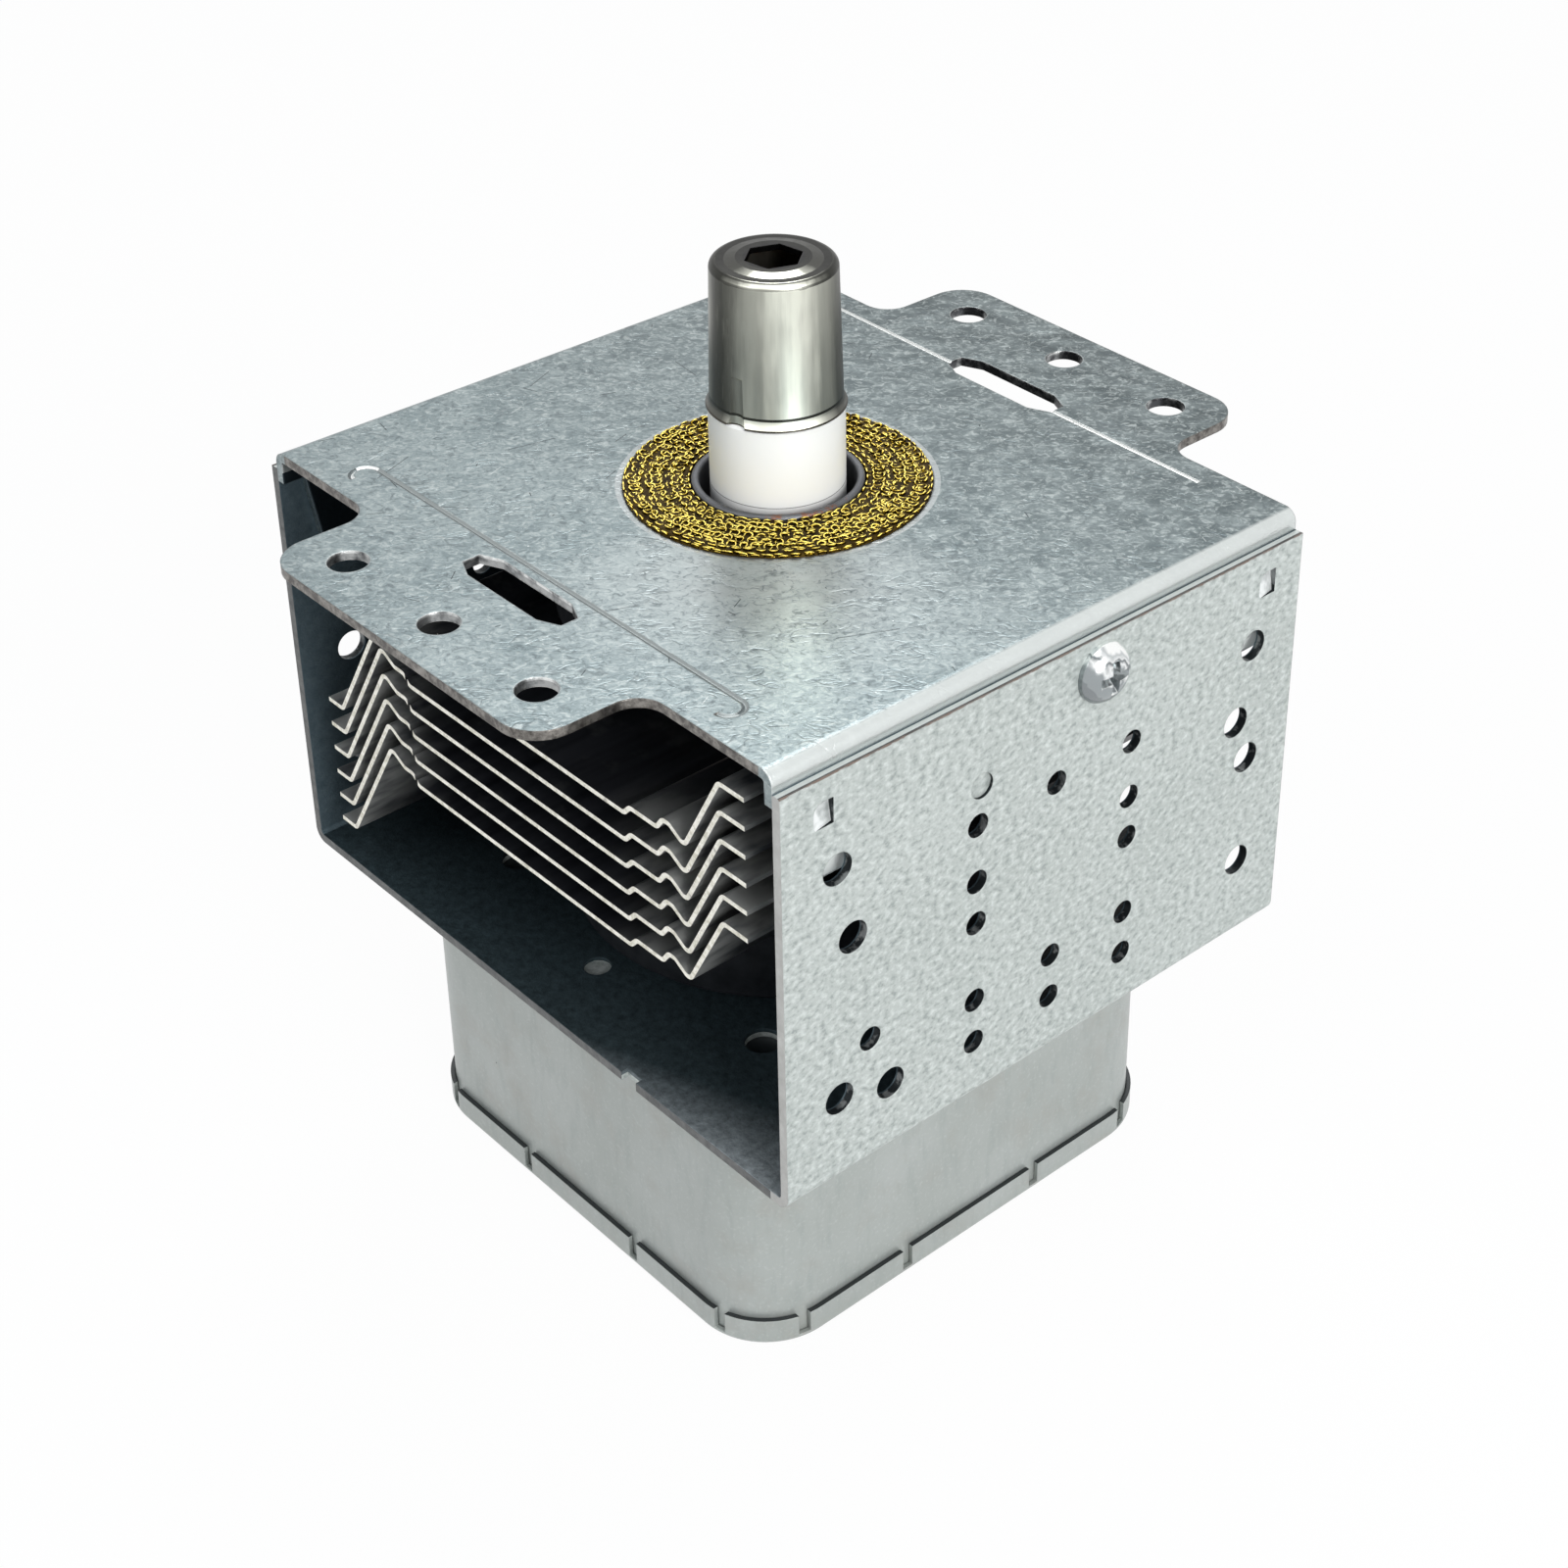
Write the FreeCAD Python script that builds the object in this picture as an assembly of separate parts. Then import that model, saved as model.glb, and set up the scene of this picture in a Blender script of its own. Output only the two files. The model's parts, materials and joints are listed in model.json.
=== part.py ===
import FreeCAD, Part
import math
import os

# Magnetron of a microwave oven, standing on its filter box with the antenna up.
# Origin: antenna axis at the mounting face, which is the upper face of the upper yoke.
# X runs from closed wall to closed wall, Y with the cooling air, +Z along the antenna.
# All sizes are in millimetres.

# Yoke
yoke_width = 94.4
yoke_depth = 80.0
yoke_sheet = 1.2
wall_drop = 2.5
lower_bend_radius = 1.8
upper_bend_radius = 1.6
flange_depth = 16.0
flange_end_depth = 4.2
flange_end_length = 3.0
flange_end_slope = 2.0
tube_clearance = 1.2
base_hole_pitch = 48.6
base_hole = 4.4
base_notch_width = 2.7
base_notch_depth = 0.9
base_notch_x = 18.8
clinch_button = 3.4
clinch_button_depth = 0.5
clinch_button_margin = 9.8

# Mounting ears of the upper yoke
mount_pitch_x = 35.5
mount_edge_offset = 8.0
mount_hole = 4.8
ear_side_margin = 7.45
ear_end_margin = 6.4
ear_tip_radius = 5.0
ear_neck_radius = 3.6
slot_length = 18.4
slot_width = 4.8
slot_tip_width = 2.3
slot_tip_length = 2.8
slot_margin = 2.6
gasket_opening = 36.8
score_width = 0.7
score_depth = 0.22
score_length = 67.4
score_hook_radius = 1.7
front_score_margin = 6.4
back_score_margin = 3.4

# Wall perforation: drops are measured down from the mounting face, rises up from the
# underside of the base, and margins in from the front and back edges
vent_hole = 4.0
vent_margin = 7.6
vent_drop = 14.8
vent_rise = 11.9
vent_upper_margin = 9.7
vent_upper_drop = 24.7
vent_extra_margin = 7.4
vent_extra_drop = 30.7
vent_lower_margin = 15.1
vent_lower_rise = 9.8
bracket_hole = 3.0
bracket_pitch_y = 12.1
bracket_drops = (19.1, 26.7, 32.4)
bracket_rises = (14.4, 8.4)
bracket_end_margin = 12.1
bracket_end_rise = 17.8
clinch_margin = 5.8
clinch_edge_margin = 4.5
clinch_width = 2.7
clinch_height = 3.2
clinch_round = 1.3
clinch_depth = 0.95
clinch_corner_depth = 0.45
locating_button = 3.2
locating_button_y = 11.6
locating_button_drop = 14.1
locating_button_depth = 0.4

# Screws that join the two yokes
screw_shank = 3.9
screw_clearance = 0.2
screw_head = 7.5
screw_head_height = 2.3
screw_flange_height = 0.6
screw_tip = 2.6
screw_y = 6.5
screw_edge_margin = 4.6
recess_width = 4.6
recess_slot = 1.1
recess_depth = 2.0
recess_floor_width = 1.6

# Magnets
magnet_diameter = 54.0
magnet_thickness = 13.5
magnet_chamfer = 0.6
magnet_clearance = 1.2

# Anode
anode_height = 27.1
anode_diameter = 37.6
anode_wall = 2.3
vane_count = 10
vane_height = 9.0
vane_thickness = 1.9
vane_tip_diameter = 9.0
strap_width = 0.8
strap_height = 0.7
inner_strap_diameter = 13.4
strap_pitch = 2.0
strap_clearance = 0.4
strap_slot_depth = 1.3

# Pole pieces
pole_sheet = 1.5
pole_seat_width = 0.8
pole_brim_width = 4.6
pole_bore = 9.4
pole_flat_diameter = 16.0
pole_gap = 1.6
lead_hole = 3.2

# Metal sleeves that close the tube at both ends
seal_sheet = 0.6
collar_diameter = 20.6
collar_wall = 1.0
collar_rise = 0.75
shelf_thickness = 0.9
output_shelf_depth = 7.0
input_sleeve_reach = 6.0

# Antenna
ceramic_clearance = 1.25
ceramic_wall = 2.55
ceramic_top = 10.55
ceramic_chamfer = 0.3
cap_lip_overhang = 0.25
cap_foot_inset = 0.2
cap_taper = 0.4
cap_lip_height = 1.2
cap_height = 18.05
cap_wall = 0.5
cap_clearance = 0.05
cap_shoulder_radius = 0.9
cap_boss_diameter = 8.8
cap_boss_rise = 0.22
cap_boss_flank = 1.3
cap_socket = 6.1
cap_socket_angle = 9.0
crimp_angle = -75.6
crimp_width = 1.6
crimp_floor = 0.15
crimp_height = 6.0
exhaust_diameter = 5.6
exhaust_wall = 0.7
exhaust_length = 13.0
exhaust_flange = 0.8
pinch_length = 5.0
pinch_thickness = 1.7
antenna_lead_diameter = 1.6
antenna_lead_margin = 0.3
antenna_lead_knee = 3.2
antenna_lead_climb = 13.0
antenna_lead_bend = 3.0

# Cathode
filament_wire = 0.5
filament_diameter = 3.9
filament_turns = 7
end_hat_diameter = 7.2
end_hat_thickness = 1.0
cathode_lead_diameter = 1.5
cathode_lead_clearance = 0.35
hat_rim = 0.15

# Stem
stem_ledge = 0.8
stem_head_height = 2.0
stem_length = 15.0
terminal_thickness = 0.8
terminal_gap = 1.0
terminal_margin = 0.8

# Gasket
gasket_rise = 0.45
gasket_edge = 0.7

# Fins: each end tab stops short of its wall, one low on the left and one high on the right
fin_count = 6
fin_sheet = 0.6
fin_edge_inset = 0.5
fin_magnet_clearance = 0.8
fin_bottom_margin = 5.8
fin_bend_radius = 0.9
fin_collar_gap = 1.1
fin_collar_wall = 0.5
fin_wall_gap = 5.1
fin_left_tab = 3.1
fin_right_tab = 4.1
fin_left_drop = 14.8
fin_right_rise = 12.5
fin_peak_rise = 2.6
fin_crest_rise = 2.7
fin_step_rise = 1.2
fin_step_run = 1.1
fin_left_margin = 2.8
fin_right_margin = 1.3
fin_peak_reach = 8.4
fin_crest_reach = 8.2
fin_valley_reach = 11.8
fin_slit_width = 0.5
fin_slit_length = 5.0

# Filter box
filter_width = 69.2
filter_height = 36.9
filter_sheet = 0.8
filter_corner_radius = 9.5
filter_edge_radius = 1.6
lid_sheet = 0.6
lid_rim = 4.0
lid_edge_radius = 1.0
lid_clearance = 0.1
rim_gap_width = 1.5
rim_gap_offset = 11.0
rim_gap_side_margin = 7.0

# Feedthrough capacitor
capacitor_rim_margin = 3.4
capacitor_body_length = 25.0
capacitor_body_height = 11.0
capacitor_inside = 12.0
capacitor_shroud = 15.5
capacitor_shroud_wall = 1.4
capacitor_shroud_floor = 2.0
capacitor_plate_wing = 7.5
capacitor_plate_margin = 2.5
capacitor_plate_sheet = 1.0
capacitor_seat_clearance = 0.2
blade_pitch = 12.0
blade_width = 6.3
blade_thickness = 0.8
blade_reach = 12.5
blade_tail = 4.0
blade_chamfer = 1.2
rivet_edge = 3.8
rivet_shank = 2.9
rivet_head = 4.6
rivet_head_height = 0.8

# Choke coils
choke_wire = 1.4
choke_clearance = 0.15
choke_touch = 0.03
choke_bend = 1.5
choke_lead_run = 2.8
choke_stem_gap = 1.0
choke_turns = 8
choke_turn_gap = 0.5
choke_pitch_y = 34.0
choke_rise = 2.0
core_diameter = 5.2
core_overhang = 1.9

# Places worked out from the sizes above: yoke
half_width = yoke_width / 2
half_depth = yoke_depth / 2
wall_inside = half_width - yoke_sheet
flange_inside = wall_inside - yoke_sheet
mount_x = mount_pitch_x / 2
mount_y = half_depth + mount_edge_offset
ear_half = mount_x + ear_side_margin
ear_end = mount_y + ear_end_margin
screw_z = -wall_drop - screw_edge_margin
clinch_z = -wall_drop - clinch_edge_margin

# Tube, from the mounting face downwards
upper_magnet_top = -yoke_sheet
upper_seal_top = upper_magnet_top - magnet_thickness
anode_top = upper_seal_top - seal_sheet
anode_middle = anode_top - anode_height / 2
anode_bottom = anode_top - anode_height
lower_seal_bottom = anode_bottom - seal_sheet
base_floor = lower_seal_bottom - magnet_thickness
base_under = base_floor - yoke_sheet
magnet_radius = magnet_diameter / 2
anode_radius = anode_diameter / 2
anode_bore_radius = anode_radius - anode_wall
vane_top = anode_middle + vane_height / 2
vane_bottom = anode_middle - vane_height / 2
inner_strap_radius = inner_strap_diameter / 2
outer_strap_radius = inner_strap_radius + strap_pitch
sleeve_radius = collar_diameter / 2
sleeve_bore_radius = sleeve_radius - collar_wall
output_shelf_top = -output_shelf_depth
input_sleeve_end = base_under - input_sleeve_reach

# Antenna
ceramic_radius = sleeve_bore_radius - ceramic_clearance
ceramic_bore_radius = ceramic_radius - ceramic_wall
cap_lip_radius = ceramic_radius + cap_lip_overhang
cap_foot_radius = ceramic_radius - cap_foot_inset
cap_top_radius = cap_foot_radius - cap_taper
cap_top = ceramic_top + cap_height
exhaust_radius = exhaust_diameter / 2
exhaust_top = ceramic_top + exhaust_flange + exhaust_length
lead_half = antenna_lead_diameter / 2
antenna_lead_radius = outer_strap_radius + strap_width / 2 + strap_clearance + lead_half + antenna_lead_margin
antenna_lead_end = exhaust_top - pinch_length / 2

# Cathode and stem
side_lead_offset = (end_hat_diameter - cathode_lead_diameter) / 2 - hat_rim
stem_radius = sleeve_bore_radius - stem_ledge
stem_top = input_sleeve_end + shelf_thickness + stem_head_height
stem_bottom = stem_top - stem_length
terminal_bottom = stem_bottom - terminal_thickness

# Fins
fin_rise = max(fin_peak_rise, fin_crest_rise)
fin_top = upper_seal_top - fin_magnet_clearance - fin_sheet / 2 - fin_rise
fin_pitch = (fin_top - anode_bottom - fin_bottom_margin) / (fin_count - 1)
fin_half_depth = half_depth - fin_edge_inset
fin_end = wall_inside - fin_wall_gap

# Filter box and what it holds
half_filter = filter_width / 2
lid_under = base_under - filter_height
lid_floor = lid_under + lid_sheet
lid_half = half_filter + lid_clearance + lid_sheet
rim_top = lid_under + lid_rim
capacitor_plate_length = capacitor_body_length + 2 * capacitor_plate_wing
capacitor_plate_height = capacitor_body_height + 2 * capacitor_plate_margin
capacitor_z = rim_top + capacitor_rim_margin + capacitor_plate_height / 2
capacitor_inner_end = -half_filter + capacitor_inside
plate_outside = -half_filter - capacitor_plate_sheet
rivet_y = capacitor_plate_length / 2 - rivet_edge
blade_inner_end = capacitor_inner_end + blade_tail
choke_z = capacitor_z + choke_rise
choke_y = choke_pitch_y / 2
choke_radius = (core_diameter + choke_wire) / 2 + choke_clearance
choke_turn_pitch = choke_wire + choke_turn_gap
choke_run = (choke_turns + 0.5) * choke_turn_pitch


def vec(x, y, z):
    return FreeCAD.Vector(x, y, z)


def box(x0, x1, y0, y1, z0, z1):
    return Part.makeBox(x1 - x0, y1 - y0, z1 - z0, vec(x0, y0, z0))


def rod(radius, z0, z1, x=0.0, y=0.0):
    return Part.makeCylinder(radius, z1 - z0, vec(x, y, z0), vec(0, 0, 1))


def ring(outer, inner, z0, z1):
    return rod(outer, z0, z1).cut(rod(inner, z0 - 1, z1 + 1))


def cross_rod(radius, x0, x1, y, z):
    return Part.makeCylinder(radius, x1 - x0, vec(x0, y, z), vec(1, 0, 0))


def half_turn(shape):
    return shape.rotated(vec(0, 0, 0), vec(0, 0, 1), 180)


def fuse_all(shapes):
    return shapes[0].multiFuse(shapes[1:]).removeSplitter()


def revolve(points):
    """Turns a closed outline of (radius, z) points about the antenna axis."""
    outline = [vec(r, 0, z) for r, z in points]
    face = Part.Face(Part.makePolygon(outline + outline[:1]))
    return face.revolve(vec(0, 0, 0), vec(0, 0, 1), 360)


def bent_strip(points, thickness, bend_radius, place):
    """A flat face of even thickness along bent centre points, with a round bend at each corner.

    place turns a 2-D point into a 3-D one; bend_radius is the radius of the centre line.
    """
    count = len(points)
    half = thickness / 2
    directions = []
    for a, b in zip(points, points[1:]):
        length = math.hypot(b[0] - a[0], b[1] - a[1])
        directions.append(((b[0] - a[0]) / length, (b[1] - a[1]) / length))
    sides = []
    for side in (1, -1):
        corners = []
        for i in range(1, count - 1):
            d0, d1 = directions[i - 1], directions[i]
            turn = math.atan2(d0[0] * d1[1] - d0[1] * d1[0], d0[0] * d1[0] + d0[1] * d1[1])
            setback = bend_radius * math.tan(abs(turn) / 2)
            inner = 1 if turn > 0 else -1
            start = (points[i][0] - d0[0] * setback, points[i][1] - d0[1] * setback)
            centre = (start[0] - d0[1] * inner * bend_radius, start[1] + d0[0] * inner * bend_radius)
            radius = bend_radius - half * inner * side
            spots = []
            for share in (0, 0.5, 1):
                angle = turn * share
                nx = d0[1] * inner * math.cos(angle) + d0[0] * inner * math.sin(angle)
                ny = -d0[0] * inner * math.cos(angle) + d0[1] * inner * math.sin(angle)
                spots.append((centre[0] + nx * radius, centre[1] + ny * radius))
            corners.append(spots)
        ends = []
        for (u, v), (du, dv) in ((points[0], directions[0]), (points[-1], directions[-1])):
            ends.append((u - dv * half * side, v + du * half * side))
        sides.append((ends[0], corners, ends[1]))
    edges = []
    for first, corners, last in sides:
        here = first
        for a, b, c in corners:
            edges.append(Part.LineSegment(place(*here), place(*a)).toShape())
            edges.append(Part.Arc(place(*a), place(*b), place(*c)).toShape())
            here = c
        edges.append(Part.LineSegment(place(*here), place(*last)).toShape())
    edges.append(Part.LineSegment(place(*sides[0][0]), place(*sides[1][0])).toShape())
    edges.append(Part.LineSegment(place(*sides[0][2]), place(*sides[1][2])).toShape())
    return Part.Face(Part.Wire(Part.__sortEdges__(edges)))


def front_plane(y):
    return lambda u, v: vec(u, y, v)


def level_plane(z):
    return lambda u, v: vec(u, v, z)


def polygon_prism(points, place, depth):
    outline = [place(u, v) for u, v in points]
    return Part.Face(Part.makePolygon(outline + outline[:1])).extrude(depth)


def rounded_prism(half, radius, z0, z1):
    """A square post with rounded upright corners."""
    post = box(-half, half, -half, half, z0, z1)
    uprights = [e for e in post.Edges if abs(e.Vertexes[0].Z - e.Vertexes[1].Z) > 1e-6]
    return post.makeFillet(radius, uprights)


def ear_plate():
    """The front mounting ear with its tip and neck roundings, reaching back under the plate's edge."""
    half = ear_half
    edge = -half_depth
    tip = ear_tip_radius
    neck = ear_neck_radius
    side = math.sin(math.radians(45))
    right = [
        Part.Arc(
            vec(half + neck, edge, 0),
            vec(half + neck - neck * side, edge - neck + neck * side, 0),
            vec(half, edge - neck, 0),
        ),
        Part.LineSegment(vec(half, edge - neck, 0), vec(half, -ear_end + tip, 0)),
        Part.Arc(
            vec(half, -ear_end + tip, 0),
            vec(half - tip + tip * side, -ear_end + tip - tip * side, 0),
            vec(half - tip, -ear_end, 0),
        ),
    ]
    edges = [curve.toShape() for curve in right]
    edges += [e.mirror(vec(0, 0, 0), vec(1, 0, 0)) for e in edges]
    root = edge + upper_bend_radius
    edges.append(Part.LineSegment(vec(-half + tip, -ear_end, 0), vec(half - tip, -ear_end, 0)).toShape())
    edges.append(Part.LineSegment(vec(half + neck, edge, 0), vec(half + neck, root, 0)).toShape())
    edges.append(Part.LineSegment(vec(-half - neck, edge, 0), vec(-half - neck, root, 0)).toShape())
    edges.append(Part.LineSegment(vec(-half - neck, root, 0), vec(half + neck, root, 0)).toShape())
    face = Part.Face(Part.Wire(Part.__sortEdges__(edges)))
    return face.extrude(vec(0, 0, -yoke_sheet))


def ear_slot():
    """A long slot with tapered ends."""
    end = slot_length / 2
    run = end - slot_tip_length
    half = slot_width / 2
    tip = slot_tip_width / 2
    outline = [(-end, -tip), (-run, -half), (run, -half), (end, -tip)]
    outline += [(end, tip), (run, half), (-run, half), (-end, tip)]
    outline = [(x, y - half_depth + slot_margin) for x, y in outline]
    return polygon_prism(outline, level_plane(1), vec(0, 0, -yoke_sheet - 2))


def score_line(y, hooked):
    """A shallow round groove coined across the plate; the front one curls back at its ends."""
    radius = (score_width ** 2 / 4 + score_depth ** 2) / (2 * score_depth)
    z = radius - score_depth
    end = score_length / 2
    bend = score_hook_radius
    edges = [Part.LineSegment(vec(-end, y, z), vec(end, y, z)).toShape()]
    if hooked:
        for side in (-1, 1):
            curl = Part.Arc(
                vec(side * end, y, z),
                vec(side * (end + bend), y - bend, z),
                vec(side * end, y - 2 * bend, z),
            )
            edges.append(curl.toShape())
    return wire_along(Part.Wire(Part.__sortEdges__(edges)), 2 * radius)


def flange_corner():
    """What the short flange end leaves away at the front of the +X flange."""
    step = -half_depth + flange_end_length
    deep = -flange_depth - 1
    outline = [
        (-half_depth - 1, -flange_end_depth),
        (step, -flange_end_depth),
        (step + flange_end_slope, -flange_depth),
        (step + flange_end_slope, deep),
        (-half_depth - 1, deep),
    ]
    place = lambda u, v: vec(flange_inside - 1, u, v)
    return polygon_prism(outline, place, vec(yoke_sheet + 2, 0, 0))


def upper_yoke():
    middle = yoke_sheet / 2
    leg = wall_inside - middle
    points = [(-leg, -flange_depth), (-leg, -middle), (leg, -middle), (leg, -flange_depth)]
    profile = bent_strip(points, yoke_sheet, upper_bend_radius - middle, front_plane(-half_depth))
    plate = profile.extrude(vec(0, yoke_depth, 0))
    ear = ear_plate()
    plate = fuse_all([plate, ear, half_turn(ear)])
    cuts = [rod(gasket_opening / 2, -yoke_sheet - 1, 1)]
    for column in (-1, 0, 1):
        for row in (-1, 1):
            cuts.append(rod(mount_hole / 2, -yoke_sheet - 1, 1, column * mount_x, row * mount_y))
    slot = ear_slot()
    cuts += [slot, half_turn(slot)]
    cuts.append(score_line(front_score_margin - half_depth, True))
    cuts.append(score_line(half_depth - back_score_margin, False))
    corner = flange_corner()
    mirrored = corner.mirror(vec(0, 0, 0), vec(0, 1, 0))
    cuts += [corner, mirrored, half_turn(corner), half_turn(mirrored)]
    screw_hole = cross_rod(screw_shank / 2, flange_inside - 1, wall_inside + 1, screw_y, screw_z)
    cuts += [screw_hole, half_turn(screw_hole)]
    return plate.cut(cuts)


def wall_hole(diameter, y, z):
    return cross_rod(diameter / 2, wall_inside - 1, half_width + 1, y, z)


def clinch(y):
    """A lanced tongue that locks wall and flange: deepest at its upper back corner, out at the lower front."""
    front = y - clinch_width / 2
    back = y + clinch_width / 2
    top = clinch_z + clinch_height / 2
    foot = clinch_z - clinch_height / 2
    bend = clinch_round
    side = math.sin(math.radians(45))
    outside = half_width + 1
    edges = [
        Part.LineSegment(vec(outside, back, top), vec(outside, back, foot)),
        Part.LineSegment(vec(outside, back, foot), vec(outside, front, foot)),
        Part.LineSegment(vec(outside, front, foot), vec(outside, front, top - bend)),
        Part.Arc(
            vec(outside, front, top - bend),
            vec(outside, front + bend - bend * side, top - bend + bend * side),
            vec(outside, front + bend, top),
        ),
        Part.LineSegment(vec(outside, front + bend, top), vec(outside, back, top)),
    ]
    post = Part.Face(Part.Wire([e.toShape() for e in edges])).extrude(vec(-2, 0, 0))
    deepest = vec(half_width - clinch_depth, back, top)
    upper = vec(half_width - clinch_corner_depth, front, top)
    lower = vec(half_width - clinch_corner_depth, back, foot)
    normal = (upper - deepest).cross(lower - deepest).normalize()
    if normal.x < 0:
        normal = normal * -1
    size = 4 * clinch_height
    keep = box(0, size, -size / 2, size / 2, -size / 2, size / 2)
    keep.Placement = FreeCAD.Placement(deepest, FreeCAD.Rotation(vec(1, 0, 0), normal))
    return post.common(keep)


def wall_cuts():
    """Everything punched or pressed into the +X wall."""
    cuts = []
    bracket_heights = [-drop for drop in bracket_drops] + [base_under + rise for rise in bracket_rises]
    for side in (-1, 1):
        for z in (-vent_drop, base_under + vent_rise):
            cuts.append(wall_hole(vent_hole, side * (half_depth - vent_margin), z))
        cuts.append(wall_hole(vent_hole, side * (half_depth - vent_upper_margin), -vent_upper_drop))
        for z in bracket_heights:
            cuts.append(wall_hole(bracket_hole, side * bracket_pitch_y, z))
        cuts.append(clinch(side * (half_depth - clinch_margin)))
    cuts.append(wall_hole(vent_hole, half_depth - vent_extra_margin, -vent_extra_drop))
    cuts.append(wall_hole(vent_hole, vent_lower_margin - half_depth, base_under + vent_lower_rise))
    cuts.append(wall_hole(bracket_hole, bracket_end_margin - half_depth, base_under + bracket_end_rise))
    for z in bracket_heights[:1] + bracket_heights[-2:]:
        cuts.append(wall_hole(bracket_hole, 0, z))
    cuts.append(wall_hole(screw_shank + 2 * screw_clearance, screw_y, screw_z))
    button = cross_rod(
        locating_button / 2,
        half_width - locating_button_depth,
        half_width + 1,
        -locating_button_y,
        -locating_button_drop,
    )
    cuts.append(button)
    return cuts


def lower_yoke():
    middle = yoke_sheet / 2
    leg = half_width - middle
    low = base_under + middle
    points = [(-leg, -wall_drop), (-leg, low), (leg, low), (leg, -wall_drop)]
    profile = bent_strip(points, yoke_sheet, lower_bend_radius - middle, front_plane(-half_depth))
    channel = profile.extrude(vec(0, yoke_depth, 0))
    cuts = [rod(sleeve_radius + tube_clearance, base_under - 1, base_floor + 1)]
    for x in (-1, 1):
        for y in (-1, 1):
            half = base_hole_pitch / 2
            cuts.append(rod(base_hole / 2, base_under - 1, base_floor + 1, x * half, y * half))
    button_floor = base_floor - clinch_button_depth
    button = rod(clinch_button / 2, button_floor, base_floor + 1, 0, clinch_button_margin - half_depth)
    notch = box(
        base_notch_x - base_notch_width / 2,
        base_notch_x + base_notch_width / 2,
        -half_depth - 1,
        -half_depth + base_notch_depth,
        base_under - 1,
        base_floor + 1,
    )
    for cut in [button, notch] + wall_cuts():
        cuts += [cut, half_turn(cut)]
    return channel.cut(cuts)


def yoke_screw():
    """A pan-head screw with a flanged head and a cross recess."""
    seat = half_width
    tip = flange_inside - screw_tip
    top = seat + screw_head_height
    head = screw_head / 2
    dome = screw_head_height - screw_flange_height
    outline = [
        Part.LineSegment(vec(seat, 0, 0), vec(seat, 0, head)),
        Part.LineSegment(vec(seat, 0, head), vec(seat + screw_flange_height, 0, head)),
        Part.Arc(
            vec(seat + screw_flange_height, 0, head),
            vec(seat + screw_flange_height + dome * 0.72, 0, head * 0.72),
            vec(top, 0, head * 0.3),
        ),
        Part.LineSegment(vec(top, 0, head * 0.3), vec(top, 0, 0)),
        Part.LineSegment(vec(top, 0, 0), vec(seat, 0, 0)),
    ]
    face = Part.Face(Part.Wire([curve.toShape() for curve in outline]))
    screw = face.revolve(vec(0, 0, 0), vec(1, 0, 0), 360)
    shank = cross_rod(screw_shank / 2, tip, seat + 0.1, 0, 0)
    screw = fuse_all([screw, shank])
    return screw.cut(cross_recess(top)).translated(vec(0, screw_y, screw_z))


def cross_recess(top):
    """A driver's cross in a head whose crown is at this x: four wings that taper inwards."""
    arm = recess_width / 2
    slot = recess_slot / 2
    deep = top - recess_depth
    cone = Part.makeCone(recess_floor_width / 2, arm, recess_depth, vec(deep, 0, 0), vec(1, 0, 0))
    cone = cone.fuse(cross_rod(arm, top, top + 1, 0, 0))
    upright = box(deep - 1, top + 1, -slot, slot, -arm, arm)
    level = box(deep - 1, top + 1, -arm, arm, -slot, slot)
    return cone.common(upright.fuse(level))


def yoke_screws():
    screw = yoke_screw()
    return Part.makeCompound([screw, half_turn(screw)])


def magnet(bottom, bore):
    body = ring(magnet_radius, bore, bottom, bottom + magnet_thickness)
    rims = [e for e in body.Edges if abs(e.Length - math.pi * magnet_diameter) < 1e-3]
    return body.makeChamfer(magnet_chamfer, rims)


def magnets():
    bore = sleeve_radius + magnet_clearance
    upper = magnet(upper_seal_top, bore)
    lower = magnet(base_floor, bore)
    return {"upper_magnet": upper, "lower_magnet": lower}


def anode_cylinder():
    """Copper cylinder with a counterbore at each end for a pole piece."""
    body = ring(anode_radius, anode_bore_radius, anode_bottom, anode_top)
    seat = anode_bore_radius + pole_seat_width
    upper = rod(seat, anode_top - pole_sheet, anode_top + 1)
    lower = rod(seat, anode_bottom - 1, anode_bottom + pole_sheet)
    return body.cut([upper, lower])


def strap_slot(radius, top):
    """Clears a strap that passes a vane, from the vane's upper or lower edge."""
    outer = radius + strap_width / 2 + strap_clearance
    inner = radius - strap_width / 2 - strap_clearance
    z0 = vane_top - strap_slot_depth if top else vane_bottom - 1
    z1 = vane_top + 1 if top else vane_bottom + strap_slot_depth
    return ring(outer, inner, z0, z1)


def strap_step(radius, top):
    """A shallower step in which a joined strap lies on the vane."""
    outer = radius + strap_width / 2
    inner = radius - strap_width / 2
    z0 = vane_top - strap_height if top else vane_bottom - 1
    z1 = vane_top + 1 if top else vane_bottom + strap_height
    return ring(outer, inner, z0, z1)


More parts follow.
